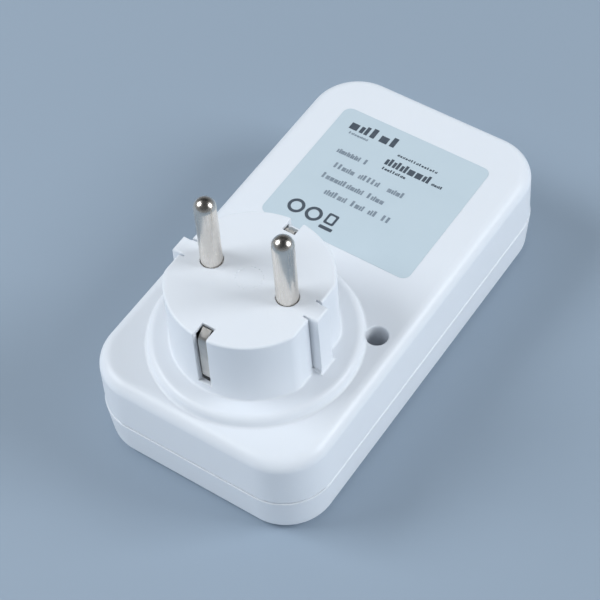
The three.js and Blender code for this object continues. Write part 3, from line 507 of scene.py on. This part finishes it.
# ---------------------------------------------------------------- earth strips and clips
# Bent strips of nickel-plated spring brass: one in each notch of the plug, and one clip on each
# side of the through socket, all with stamped edges and rounded bends.

strip_plate = shader("spring_plate", (0.66, 0.63, 0.59), 0.4, 1.0)
ramp(strip_plate, noise(strip_plate, 900.0, 3.0, (1.0, 1.0, 0.15)),
     [(0.3, 0.34), (0.7, 0.48)], "Roughness")
ramp(strip_plate, noise(strip_plate, 500.0, 3.0),
     [(0.3, (0.62, 0.59, 0.55)), (0.7, (0.69, 0.66, 0.62))], "Base Color")
STRIP_LINE = [(14.95, 44.9), (17.0, 43.2), (17.0, 31.0), (16.1, 30.1), (11.2, 30.1), (11.2, 25.6),
              (12.8, 24.0), (18.0, 24.0), (18.0, 21.0)]
CLIP_LINE = [(14.2, 20.15), (17.9, 20.15), (17.9, 17.0), (16.3, 10.5), (18.3, 4.0)]


def eased(line, radius, steps=5):
    """Rounds the corners of an open line."""
    points = [np.array(p, float) for p in line]
    path = [points[0]]
    for before, corner, after in zip(points, points[1:], points[2:]):
        into, out = corner - before, after - corner
        reach = min(radius, np.linalg.norm(into) * 0.45, np.linalg.norm(out) * 0.45)
        start = corner - into / np.linalg.norm(into) * reach
        end = corner + out / np.linalg.norm(out) * reach
        for i in range(steps + 1):
            t = i / steps
            path.append((1 - t) ** 2 * start + 2 * t * (1 - t) * corner + t ** 2 * end)
    return np.array(path + [points[-1]])


def bent_strip(name, line, thickness, width, side, bend):
    """Strip bent in the upright plane through the earth notches, with broken edges."""
    path = eased(line, bend)
    tangents = np.gradient(path, axis=0)
    tangents /= np.linalg.norm(tangents, axis=1)[:, None]
    broken = thickness * 0.22
    u, v = thickness / 2, width / 2
    section = [(u, v - broken), (u - broken, v), (broken - u, v), (-u, v - broken),
               (-u, broken - v), (broken - u, -v), (u - broken, -v), (u, broken - v)]
    shape = bmesh.new()
    rings = []
    for (r, z), (tr, tz) in zip(path, tangents):
        rings.append([
            shape.verts.new((b * MM, (PLUG_Y + side * (r - tz * a)) * MM, (z + tr * a) * MM))
            for a, b in section
        ])
    for low, high in zip(rings, rings[1:]):
        for i in range(len(section)):
            j = (i + 1) % len(section)
            shape.faces.new((low[i], low[j], high[j], high[i]))
    shape.faces.new(rings[0])
    shape.faces.new(rings[-1])
    bmesh.ops.recalc_face_normals(shape, faces=shape.faces)
    return made(name, shape)


for place, side in (("near", -1), ("far", 1)):
    strip = bent_strip(f"earth_strip_{place}_bent", STRIP_LINE, 0.7, 2.2, side, 0.9)
    finish_piece(strip, strip_plate, "meter", [f"earth_strip_{place}"])
    clip = bent_strip(f"earth_clip_{place}_bent", CLIP_LINE, 0.6, 2.6, side, 2.2)
    finish_piece(clip, strip_plate, "meter", [f"earth_clip_{place}"])

# ---------------------------------------------------------------- rating label
# A pale blue-grey polyester label stuck flat on the back face, which has no bed for it here. It is
# printed in dark slate with nothing but plain blocks and rings that stand for its text and marks.

LABEL_CENTRE, LABEL_SIZE, LABEL_CORNER = (0.0, 22.5), (39.0, 37.0), 2.0
LABEL_BOTTOM, LABEL_TOP, INK_TOP, INK_HALF = 24.9, 25.04, 25.06, 0.01
LABEL_LEFT, LABEL_HEAD = -LABEL_SIZE[0] / 2, LABEL_CENTRE[1] + LABEL_SIZE[1] / 2
label_film = shader("label_film", (0.56, 0.655, 0.71), 0.42, Specular_IOR_Level=0.35)
ramp(label_film, noise(label_film, 120.0),
     [(0.3, (0.555, 0.65, 0.705)), (0.7, (0.568, 0.662, 0.716))], "Base Color")
bump(label_film, noise(label_film, 1500.0, 2.0), 0.000008, 0.4)
slate_ink = shader("slate_ink", (0.075, 0.095, 0.12), 0.5)
ramp(slate_ink, noise(slate_ink, 900.0),
     [(0.3, (0.065, 0.085, 0.11)), (0.7, (0.09, 0.11, 0.135))], "Base Color")
thin_ink = shader("thin_ink", (0.24, 0.29, 0.34), 0.5)
ramp(thin_ink, noise(thin_ink, 900.0),
     [(0.3, (0.2, 0.25, 0.3)), (0.7, (0.28, 0.33, 0.38))], "Base Color")


def flat_plate(name, outline, bottom, top, edge):
    """Plate of the given outline with eased edges; the outline runs counter-clockwise."""
    shape = bmesh.new()
    low = [shape.verts.new((x * MM, y * MM, bottom * MM)) for x, y in outline]
    face = shape.faces.new(low)
    raised = bmesh.ops.extrude_face_region(shape, geom=[face])["geom"]
    for vertex in raised:
        if isinstance(vertex, bmesh.types.BMVert):
            vertex.co.z = top * MM
    bmesh.ops.recalc_face_normals(shape, faces=shape.faces)
    rims = [e for e in shape.edges if abs(e.verts[0].co.z - e.verts[1].co.z) < 1e-9]
    bmesh.ops.bevel(shape, geom=rims, offset=edge * MM, segments=2, affect="EDGES",
                    clamp_overlap=True)
    return made(name, shape)


def rounded_outline(centre, size, corner, steps):
    """Corner points of a rectangle with rounded corners, counter-clockwise."""
    half_x, half_y = size[0] / 2 - corner, size[1] / 2 - corner
    points = []
    for k, (sx, sy) in enumerate(((1, 1), (-1, 1), (-1, -1), (1, -1))):
        points += quarter(centre[0] + sx * half_x, centre[1] + sy * half_y, corner,
                          90 * k, 90 * k + 90, steps)
    return points


label = flat_plate("label_skin", rounded_outline(LABEL_CENTRE, LABEL_SIZE, LABEL_CORNER, 8),
                   LABEL_BOTTOM, LABEL_TOP, 0.04)
finish_piece(label, label_film, "meter", ["rear_label"])


def new_tree(name, sockets):
    """Empty geometry tree with named inputs: (name, type, default) each."""
    tree = bpy.data.node_groups.new(name, "GeometryNodeTree")
    tree.interface.new_socket("Geometry", in_out="OUTPUT", socket_type="NodeSocketGeometry")
    for title, kind, default in sockets:
        socket = tree.interface.new_socket(title, in_out="INPUT", socket_type=kind)
        socket.default_value = default
    return tree, tree.nodes.new("NodeGroupInput"), tree.nodes.new("NodeGroupOutput")


def grown(name, tree, values):
    """Runs a tree with the given inputs and returns its result as a plain mesh object."""
    host = bpy.data.objects.new(name + "_host", bpy.data.meshes.new(name + "_host"))
    bpy.context.scene.collection.objects.link(host)
    modifier = host.modifiers.new("tree", "NODES")
    modifier.node_group = tree
    identifiers = {
        item.name: item.identifier for item in tree.interface.items_tree if item.in_out == "INPUT"
    }
    for title, value in values.items():
        modifier[identifiers[title]] = value
    bpy.context.view_layer.update()
    graph = bpy.context.evaluated_depsgraph_get()
    result = bpy.data.meshes.new_from_object(host.evaluated_get(graph))
    bpy.data.objects.remove(host)
    result.name = name
    return result


MARK_WIDTH = 0.72


def print_marks():
    """Three plain marks, one unit high, that rows of small print are made of."""
    marks = []
    for name, boxes in (
        ("low_mark", ((0, -0.16, MARK_WIDTH, 0.68),)),
        ("split_mark", ((-0.2, -0.16, 0.32, 0.68), (0.22, -0.06, 0.3, 0.88))),
        ("tall_mark", ((-0.1, 0, 0.42, 1),)),
    ):
        shape = bmesh.new()
        for x, y, width, height in boxes:
            box = bmesh.ops.create_cube(shape, size=1)["verts"]
            bmesh.ops.scale(shape, vec=(width, height, 1), verts=box)
            bmesh.ops.translate(shape, vec=(x, y, 0), verts=box)
        marks.append(made(name, shape, smooth=False))
    return marks


def print_row_tree(marks):
    """A row of plain marks with gaps here and there, standing for one line of small print."""
    tree, given, out = new_tree("print_row", [
        ("Start", "NodeSocketVector", (0, 0, 0)), ("End", "NodeSocketVector", (0, 0, 0)),
        ("Marks", "NodeSocketInt", 3), ("Size", "NodeSocketVector", (1, 1, 1)),
        ("Gaps", "NodeSocketFloat", 0.2), ("Seed", "NodeSocketInt", 0),
        ("Ink", "NodeSocketMaterial", slate_ink),
    ])
    add = tree.nodes.new
    link = tree.links.new
    row = add("GeometryNodeMeshLine")
    row.mode = "END_POINTS"
    link(given.outputs["Marks"], row.inputs["Count"])
    link(given.outputs["Start"], row.inputs["Start Location"])
    link(given.outputs["End"], row.inputs["Offset"])
    chance = add("FunctionNodeRandomValue")
    chance.data_type = "BOOLEAN"
    link(given.outputs["Gaps"], chance.inputs["Probability"])
    link(given.outputs["Seed"], chance.inputs["Seed"])
    gaps = add("GeometryNodeDeleteGeometry")
    link(row.outputs["Mesh"], gaps.inputs["Geometry"])
    link([s for s in chance.outputs if s.type == "BOOLEAN"][0], gaps.inputs["Selection"])
    loose = add("GeometryNodeJoinGeometry")
    for mark in marks:
        source = add("GeometryNodeObjectInfo")
        source.inputs["Object"].default_value = mark
        source.inputs["As Instance"].default_value = True
        link(source.outputs["Geometry"], loose.inputs["Geometry"])
    choice = add("FunctionNodeRandomValue")
    choice.data_type = "INT"
    lowest = [s for s in choice.inputs if s.name == "Min" and s.type == "INT"][0]
    highest = [s for s in choice.inputs if s.name == "Max" and s.type == "INT"][0]
    lowest.default_value = 0
    highest.default_value = len(marks) - 1
    link(given.outputs["Seed"], choice.inputs["Seed"])
    place = add("GeometryNodeInstanceOnPoints")
    place.inputs["Pick Instance"].default_value = True
    link(gaps.outputs["Geometry"], place.inputs["Points"])
    link(loose.outputs["Geometry"], place.inputs["Instance"])
    link([s for s in choice.outputs if s.type == "INT"][0], place.inputs["Instance Index"])
    link(given.outputs["Size"], place.inputs["Scale"])
    real = add("GeometryNodeRealizeInstances")
    link(place.outputs["Instances"], real.inputs["Geometry"])
    colour = add("GeometryNodeSetMaterial")
    link(given.outputs["Ink"], colour.inputs["Material"])
    link(real.outputs["Geometry"], colour.inputs["Geometry"])
    link(colour.outputs["Geometry"], out.inputs["Geometry"])
    return tree


# Each row: where its first and last mark stand from the label's left edge, how far it lies below the
# label's head, the number of marks, their width and height and the share of gaps.
BOLD_ROWS = [
    (4.9, 15.7, 4.2, 5, 2.1, 2.9, 0.0),
    (17.6, 27.6, 9.6, 6, 1.6, 2.5, 0.0),
    (29.6, 31.8, 10.4, 4, 0.6, 0.8, 0.0),
    (17.4, 23.0, 12.0, 9, 0.55, 0.8, 0.0),
    (18.4, 28.4, 6.9, 15, 0.5, 0.7, 0.0),
]
SMALL_ROWS = [
    (5.0, 9.5, 6.7, 7, 0.6, 0.7, 0.1),
    (5.9, 14.1, 12.6, 9, 0.95, 1.5, 0.18),
    (5.5, 25.5, 16.8, 19, 0.95, 1.6, 0.2),
    (7.0, 22.5, 20.7, 15, 0.95, 1.6, 0.2),
    (10.3, 26.6, 24.6, 15, 1.0, 1.7, 0.18),
]
marks = print_marks()
row_tree = print_row_tree(marks)


def printed_rows(rows, ink, first_seed):
    """Prints the given rows into a new bmesh."""
    shape = bmesh.new()
    for seed, (first, last, drop, count, width, height, gaps) in enumerate(rows, first_seed):
        y = (LABEL_HEAD - drop) * MM
        row_mesh = grown(f"print_row_{seed}", row_tree, {
            "Start": ((LABEL_LEFT + first) * MM, y, INK_TOP * MM),
            "End": ((LABEL_LEFT + last) * MM, y, INK_TOP * MM),
            "Marks": count, "Size": (width / MARK_WIDTH * MM, height * MM, 2 * INK_HALF * MM),
            "Gaps": gaps, "Seed": seed, "Ink": ink,
        })
        shape.from_mesh(row_mesh)
    return shape


small_print = made("small_print", printed_rows(SMALL_ROWS, thin_ink, 20), smooth=False)
finish_piece(small_print, thin_ink, "meter", ())
print_shape = printed_rows(BOLD_ROWS, slate_ink, 3)
for mark in marks:
    bpy.data.objects.remove(mark)


def inked(outline, hole=None):
    """Adds a flat printed shape, or a printed ring when a hole is given."""
    for height, turn in ((INK_TOP + INK_HALF, 1), (INK_TOP - INK_HALF, -1)):
        rim = [print_shape.verts.new((x * MM, y * MM, height * MM)) for x, y in outline]
        if hole is None:
            print_shape.faces.new(rim[::turn])
            continue
        inner = [print_shape.verts.new((x * MM, y * MM, height * MM)) for x, y in hole]
        for i in range(len(rim)):
            j = (i + 1) % len(rim)
            print_shape.faces.new((rim[i], rim[j], inner[j], inner[i])[::turn])


def label_spot(right, down):
    return (LABEL_LEFT + right, LABEL_HEAD - down)


# Two plain rings, a plain square frame and a bar, where the approval marks sit.
for right in (6.6, 11.3):
    ring_at = label_spot(right, 31.6)
    inked(quarter(*ring_at, 2.05, 0, 345, 23), quarter(*ring_at, 1.3, 0, 345, 23))
frame_at = label_spot(15.6, 31.0)
inked(rounded_outline(frame_at, (2.6, 3.2), 0.4, 3), rounded_outline(frame_at, (1.5, 2.1), 0.3, 3))
inked(rounded_outline(label_spot(15.8, 33.8), (3.4, 0.9), 0.2, 3))
label_print = made("label_print", print_shape, smooth=False)
finish_piece(label_print, slate_ink, "meter", ())

# ---------------------------------------------------------------- case screws
# Four pan-head steel screws hold the two halves together from the back. They sit at the bottom of
# their wells, each turned as the screwdriver left it.

SCREW_HEAD, SCREW_SHAFT = 2.2, 1.35
THREADS, THREAD_FROM, THREAD_PITCH, THREAD_CORE = 11, 6.0, 0.7, 1.02
RECESS_LENGTH, RECESS_WIDTH, RECESS_DEEP, RECESS_AT = 2.7, 0.55, 2.4, 16.2
zinc_steel = shader("zinc_steel", (0.60, 0.61, 0.63), 0.34, 1.0)
ramp(zinc_steel, noise(zinc_steel, 800.0, 3.0), [(0.3, 0.26), (0.7, 0.44)], "Roughness")

screw_line = [(0, 4.2), (0.5, 4.2), (SCREW_SHAFT, 5.6)]
for turn in range(THREADS):
    height = THREAD_FROM + turn * THREAD_PITCH
    screw_line += [(SCREW_SHAFT, height), (THREAD_CORE, height + 0.35)]
screw_line += [(SCREW_SHAFT, 14.1), (2.05, 14.1), (SCREW_HEAD, 14.25),
               *quarter(1.5, 15.2, 0.7, 0, 80, 6), (0, 15.9)]
screw_blank = turned("screw_blank", (0, 0), screw_line, 28)
recess = bmesh.new()
for size in ((RECESS_LENGTH, RECESS_WIDTH), (RECESS_WIDTH, RECESS_LENGTH)):
    arm = bmesh.ops.create_cube(recess, size=1)["verts"]
    bmesh.ops.scale(recess, vec=(size[0] * MM, size[1] * MM, RECESS_DEEP * MM), verts=arm)
    bmesh.ops.translate(recess, vec=(0, 0, RECESS_AT * MM), verts=arm)
cross = made("cross_recess", recess, smooth=False)
cutting = screw_blank.modifiers.new("cross", "BOOLEAN")
cutting.object = cross
cutting.solver = "EXACT"
cutting.use_self = True
bpy.context.view_layer.update()
graph = bpy.context.evaluated_depsgraph_get()
cut_blank = bpy.data.meshes.new_from_object(screw_blank.evaluated_get(graph))
screw_blank.modifiers.clear()
screw_blank.data = cut_blank
bpy.data.objects.remove(cross)


def screws_tree():
    """Stands one screw in each well, turned at random."""
    tree, given, out = new_tree("screws_in_wells", [
        ("Spread", "NodeSocketVector", (0, 0, 0)), ("Offset", "NodeSocketVector", (0, 0, 0)),
        ("Seed", "NodeSocketInt", 0),
    ])
    add = tree.nodes.new
    link = tree.links.new
    row = add("GeometryNodeMeshLine")
    row.mode = "END_POINTS"
    row.inputs["Count"].default_value = 2
    link(given.outputs["Spread"], row.inputs["Start Location"])
    link(given.outputs["Offset"], row.inputs["Offset"])
    blank = add("GeometryNodeObjectInfo")
    blank.inputs["Object"].default_value = screw_blank
    angle = add("FunctionNodeRandomValue")
    angle.data_type = "FLOAT"
    most = [s for s in angle.inputs if s.name == "Max" and s.type == "VALUE"][0]
    most.default_value = math.pi / 2
    link(given.outputs["Seed"], angle.inputs["Seed"])
    turn = add("ShaderNodeCombineXYZ")
    link([s for s in angle.outputs if s.type == "VALUE"][0], turn.inputs["Z"])
    place = add("GeometryNodeInstanceOnPoints")
    link(row.outputs["Mesh"], place.inputs["Points"])
    link(blank.outputs["Geometry"], place.inputs["Instance"])
    link(turn.outputs["Vector"], place.inputs["Rotation"])
    real = add("GeometryNodeRealizeInstances")
    link(place.outputs["Instances"], real.inputs["Geometry"])
    steel = add("GeometryNodeSetMaterial")
    steel.inputs["Material"].default_value = zinc_steel
    link(real.outputs["Geometry"], steel.inputs["Geometry"])
    link(steel.outputs["Geometry"], out.inputs["Geometry"])
    return tree


screw_tree = screws_tree()
for row, (left, right) in enumerate((WELLS[:2], WELLS[2:])):
    name = f"case_screws_{row + 1}"
    screws = bpy.data.objects.new(name, grown(name, screw_tree, {
        "Spread": (left[0] * MM, left[1] * MM, 0.0),
        "Offset": (right[0] * MM, right[1] * MM, 0.0),
        "Seed": 5 + row,
    }))
    bpy.context.scene.collection.objects.link(screws)
    replaced = [f"case_screw_{2 * row + 1}", f"case_screw_{2 * row + 2}"]
    finish_piece(screws, zinc_steel, "meter", replaced)
bpy.data.objects.remove(screw_blank)

# ---------------------------------------------------------------- front shell
# The lower half as the meter lies, moulded in the same white ABS: a tray with a lip that stands in
# the rear housing, round openings for the socket and five keys, and a stepped opening for the window.

SHELL_TAPER, SHELL_TOP, SHELL_EDGE = 0.85, 10.88, 2.0
LIP_OUT, LIP_IN, LIP_FROM, LIP_TOP = 1.5, 2.6, 9.5, 12.4
FRONT_WALL, SOCKET_HOLE, KEY_HOLE = 2.6, 21.5, 3.5
MAT_POSTS = [(side * 23.0, y) for side in (-1, 1) for y in (14.0, 30.0)]
KEYS = [(-14.0, 11.5), (0.0, 11.5), (14.0, 11.5), (-7.0, 2.8), (7.0, 2.8)]
WINDOW_Y, WINDOW_SIZE, WINDOW_CORNER = 38.0, (36.0, 19.0), 1.5


def front_tray(x, y, z):
    outline = round_rect(x, y, *CASE_HALF, CASE_CORNER)
    drafted = outline + SHELL_TAPER * np.clip((SHELL_TOP - z) / SHELL_TOP, 0, 1)
    body = upright(drafted, z, 0, OVER, SHELL_EDGE)
    body = -fuse(-body, SHELL_TOP - z, 0.2)
    lip = np.maximum(upright(outline + LIP_OUT, z, LIP_FROM, LIP_TOP), -(outline + LIP_IN))
    body = fuse(body, lip)
    body = cut(body, upright(outline + LIP_IN, z, CASE_WALL, OVER, 0.8))
    for well in WELLS:
        body = fuse(body, upright(disc(x, y, well, 3.3), z, 1, 12.2), 0.3)
        body = cut(body, upright(disc(x, y, well, 1.65), z, 3.5, OVER))
    for post in MAT_POSTS:
        body = fuse(body, upright(disc(x, y, post, 1.5), z, 1, 6.7), 0.3)
    body = cut(body, upright(disc(x, y, (0, PLUG_Y), SOCKET_HOLE), z, -OVER, FRONT_WALL), 0.35)
    for key in KEYS:
        body = cut(body, upright(disc(x, y, key, KEY_HOLE), z, -OVER, FRONT_WALL), 0.3)
    sight = round_rect(x, y - WINDOW_Y, WINDOW_SIZE[0] / 2, WINDOW_SIZE[1] / 2, WINDOW_CORNER)
    body = cut(body, upright(sight - 0.3, z, -OVER, 1.4), 0.3)
    return cut(body, upright(sight + 1.5, z, -OVER, FRONT_WALL))


front_case = moulded(
    "front_shell_tray", front_tray,
    grid_lines((-29.0, -25.0, 0.45), (-25.0, 25.0, 0.6), (25.0, 29.0, 0.45)),
    grid_lines((-52.6, -48.0, 0.5), (-48.0, -2.0, 0.62), (-2.0, 16.0, 0.5), (16.0, 27.0, 0.8),
               (27.0, 48.0, 0.6), (48.0, 52.6, 0.5)),
    grid_lines((-0.4, 2.6, 0.22), (2.6, 9.4, 0.8), (9.4, 12.8, 0.26)),
)
finish_piece(front_case, white_abs, "meter", ["front_shell"])

# ---------------------------------------------------------------- socket insert
# A cup of white ABS behind the front face: the well of the through socket, with two flats, two
# grooves for a plug's ribs, pin holes, clip slots and the post on which the shutter turns.

CUP_RADIUS, CUP_TOP, FLANGE_RADIUS = 21.2, 19.5, 22.6
SOCKET_RADIUS, SOCKET_FLAT, SOCKET_FLOOR = 19.3, 17.3, 17.5
POST_RADIUS, POST_TOP, POST_BORE = 1.7, 22.9, 1.05
FLANGE_RELIEF, PIN_HOLE = 3.6, 3.0


def socket_cup(x, y, z):
    y = y - PLUG_Y
    across, along = np.abs(x), np.abs(y)
    body = upright(disc(x, y, (0, 0), CUP_RADIUS), z, 0, CUP_TOP, 0.5)
    flange = upright(disc(x, y, (0, 0), FLANGE_RADIUS), z, 2.3, 3.6, 0.15)
    for well in WELLS:
        flange = cut(flange, disc(x, y + PLUG_Y, well, FLANGE_RELIEF))
    body = fuse(body, flange)
    body = fuse(body, upright(disc(x, y, (0, 0), POST_RADIUS), z, 18, POST_TOP), 0.3)
    rounded = -fuse(-disc(x, y, (0, 0), SOCKET_RADIUS), SOCKET_FLAT - across, 0.5)
    well_plan = fuse(rounded, slab(across, along, -1, 19.1, -1, 2.7), 0.2)
    body = cut(body, upright(well_plan, z, -OVER, SOCKET_FLOOR, 0.4), 0.3)
    body = cut(body, upright(disc(across, y, (PIN_X, 0), PIN_HOLE), z, 10, 30), 0.35)
    body = cut(body, upright(slab(x, along, -1.7, 1.7, 17.2, 18.6), z, 10, 30), 0.1)
    return cut(body, upright(disc(x, y, (0, 0), POST_BORE), z, 20.5, 30))


cup_lines = grid_lines((-23.0, 23.0, 0.42))
socket_piece = moulded(
    "socket_cup", socket_cup, cup_lines, cup_lines + PLUG_Y,
    grid_lines((-0.4, 1.0, 0.2), (1.0, 2.0, 0.33), (2.0, 4.0, 0.25), (4.0, 16.6, 0.6),
               (16.6, 20.0, 0.28), (20.0, 23.2, 0.4)),
)
finish_piece(socket_piece, white_abs, "meter", ["socket_insert"])

# ---------------------------------------------------------------- keys
# Five grey keys moulded in ABS with slightly dished faces. Each has a flange that holds it behind
# the front wall and a short stem that presses a dome of the rubber mat.

key_plastic = shader("grey_abs", (0.19, 0.22, 0.25), 0.45)
ramp(key_plastic, noise(key_plastic, 300.0),
     [(0.3, (0.185, 0.215, 0.245)), (0.7, (0.2, 0.23, 0.262))], "Base Color")
bump(key_plastic, noise(key_plastic, 4200.0, 3.0), 0.000015, 0.6)
KEY_DISH, KEY_DEEP = 2.35, 0.2
dish = [(KEY_DISH * i / 6, 0.55 - KEY_DEEP * (i / 6) ** 2) for i in range(7)]
key_line = dish + [*quarter(2.75, 0.8, 0.45, -90, 0, 6), (3.2, 2.3), (4.05, 2.3), (4.1, 2.35),
                   (4.1, 2.95), (4.05, 3.0), (1.6, 3.0), (1.6, 3.3), (1.5, 3.4), (0, 3.4)]
for number, key_at in enumerate(KEYS, 1):
    key = turned(f"key_{number}_cap", key_at, key_line, 48)
    finish_piece(key, key_plastic, f"key_{number}", [f"key_{number}"])

# ---------------------------------------------------------------- window and display
# A clear acrylic window lies in the front shell's step. Behind it a black frame holds the display
# glass, with a striped rubber strip that connects it to the display board.

acrylic = shader("clear_acrylic", (0.75, 0.8, 0.82), 0.05, Alpha=0.14, IOR=1.49)
bump(acrylic, noise(acrylic, 90.0, 1.0), 0.00001, 0.2)
window = flat_plate("window_pane", rounded_outline((0, WINDOW_Y), WINDOW_SIZE, WINDOW_CORNER, 8),
                    0.3, 1.2, 0.12)
finish_piece(window, acrylic, "meter", ["lcd_window"])

frame_plastic = shader("black_abs", (0.03, 0.032, 0.036), 0.45)
ramp(frame_plastic, noise(frame_plastic, 500.0),
     [(0.3, (0.027, 0.029, 0.033)), (0.7, (0.036, 0.038, 0.042))], "Base Color")
bump(frame_plastic, noise(frame_plastic, 4200.0, 3.0), 0.000012, 0.5)
display_glass = shader("display_glass", (0.33, 0.37, 0.30), 0.22,
                       Coat_Weight=1.0, Coat_Roughness=0.04)
ramp(display_glass, noise(display_glass, 90.0),
     [(0.3, (0.32, 0.36, 0.29)), (0.7, (0.345, 0.385, 0.315))], "Base Color")
stripe_rubber = shader("striped_rubber", (0.12, 0.12, 0.13), 0.7)
stripe_tree = stripe_rubber.node_tree
stripe_place = stripe_tree.nodes.new("ShaderNodeTexCoord")
stripes = stripe_tree.nodes.new("ShaderNodeTexWave")
stripes.inputs["Scale"].default_value = 500.0
stripe_tree.links.new(stripe_place.outputs["Object"], stripes.inputs["Vector"])
ramp(stripe_rubber, stripes.outputs["Fac"],
     [(0.45, (0.05, 0.05, 0.055)), (0.55, (0.45, 0.46, 0.47))], "Base Color")


def coat(material, *names):
    """Gives CAD nodes their finish."""
    for name in names:
        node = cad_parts[name]
        node.data.materials.clear()
        node.data.materials.append(material)


coat(frame_plastic, "lcd_frame")
coat(display_glass, "lcd_glass")
coat(stripe_rubber, "zebra_strip")

# ---------------------------------------------------------------- shutter
# The child-safety shutter behind the pin holes, its torsion spring, and the plate that keeps it on
# its post with one small slotted screw.

shutter_plastic = shader("shutter_acetal", (0.62, 0.65, 0.68), 0.42)
ramp(shutter_plastic, noise(shutter_plastic, 350.0),
     [(0.3, (0.60, 0.63, 0.66)), (0.7, (0.645, 0.675, 0.705))], "Base Color")
bump(shutter_plastic, noise(shutter_plastic, 3800.0, 3.0), 0.000012, 0.5)
coat(shutter_plastic, "shutter", "shutter_retainer")
coat(zinc_steel, "shutter_spring", "retainer_screw")

# ---------------------------------------------------------------- contacts and wires
# Stamped brass forks, the live pin's terminal and the earth bridge, and the three insulated wires
# that lead from them to the main board.

sheet_brass = shader("sheet_brass", (0.74, 0.55, 0.25), 0.32, 1.0)
ramp(sheet_brass, noise(sheet_brass, 700.0, 4.0), [(0.3, 0.24), (0.7, 0.42)], "Roughness")
ramp(sheet_brass, noise(sheet_brass, 160.0, 3.0),
     [(0.3, (0.70, 0.51, 0.22)), (0.7, (0.77, 0.58, 0.28))], "Base Color")
coat(sheet_brass, "live_contact", "neutral_contact", "live_terminal", "earth_bridge")
for wire_color, rgb, wires in (("brown", (0.13, 0.055, 0.025), ("wire_live_in", "wire_live_out")),
                               ("blue", (0.03, 0.12, 0.42), ("wire_neutral",))):
    insulation = shader(f"{wire_color}_insulation", rgb, 0.45)
    ramp(insulation, noise(insulation, 600.0),
         [(0.3, tinted(rgb, 0.92)), (0.7, tinted(rgb, 1.08))], "Base Color")
    coat(insulation, *wires)

# ---------------------------------------------------------------- boards and their parts
# Two green glass-fibre boards. The main one carries the mains parts and the metering chip, the
# display board the processor and its crystal, and a header joins them.

solder_resist = shader("solder_resist", (0.02, 0.16, 0.07), 0.38)
ramp(solder_resist, noise(solder_resist, 420.0, 4.0),
     [(0.35, (0.015, 0.13, 0.055)), (0.65, (0.03, 0.20, 0.09))], "Base Color")
coat(solder_resist, "main_board", "display_board")
PART_FINISHES = {
    "epoxy_black": ((0.03, 0.03, 0.033), 0.5, ("metering_chip", "display_chip", "board_header")),
    "yellow_box": ((0.62, 0.42, 0.06), 0.4, ("film_capacitor",)),
    "can_sleeve": ((0.03, 0.05, 0.12), 0.3, ("round_capacitor",)),
    "dipped_blue": ((0.03, 0.1, 0.38), 0.35, ("varistor",)),
    "painted_ceramic": ((0.42, 0.34, 0.22), 0.55, ("fuse_resistor",)),
    "silicone_mat": ((0.26, 0.28, 0.3), 0.7, ("keypad_mat",)),
}
for finish, (rgb, roughness, parts) in PART_FINISHES.items():
    surface = shader(finish, rgb, roughness)
    ramp(surface, noise(surface, 450.0, 3.0),
         [(0.3, tinted(rgb, 0.9)), (0.7, tinted(rgb, 1.1))], "Base Color")
    bump(surface, noise(surface, 3000.0, 2.0), 0.00001, 0.5)
    coat(surface, *parts)
strap_copper = shader("strap_copper", (0.78, 0.42, 0.27), 0.3, 1.0)
ramp(strap_copper, noise(strap_copper, 500.0, 3.0), [(0.3, 0.22), (0.7, 0.42)], "Roughness")
coat(strap_copper, "shunt")
coat(zinc_steel, "backup_battery", "crystal")
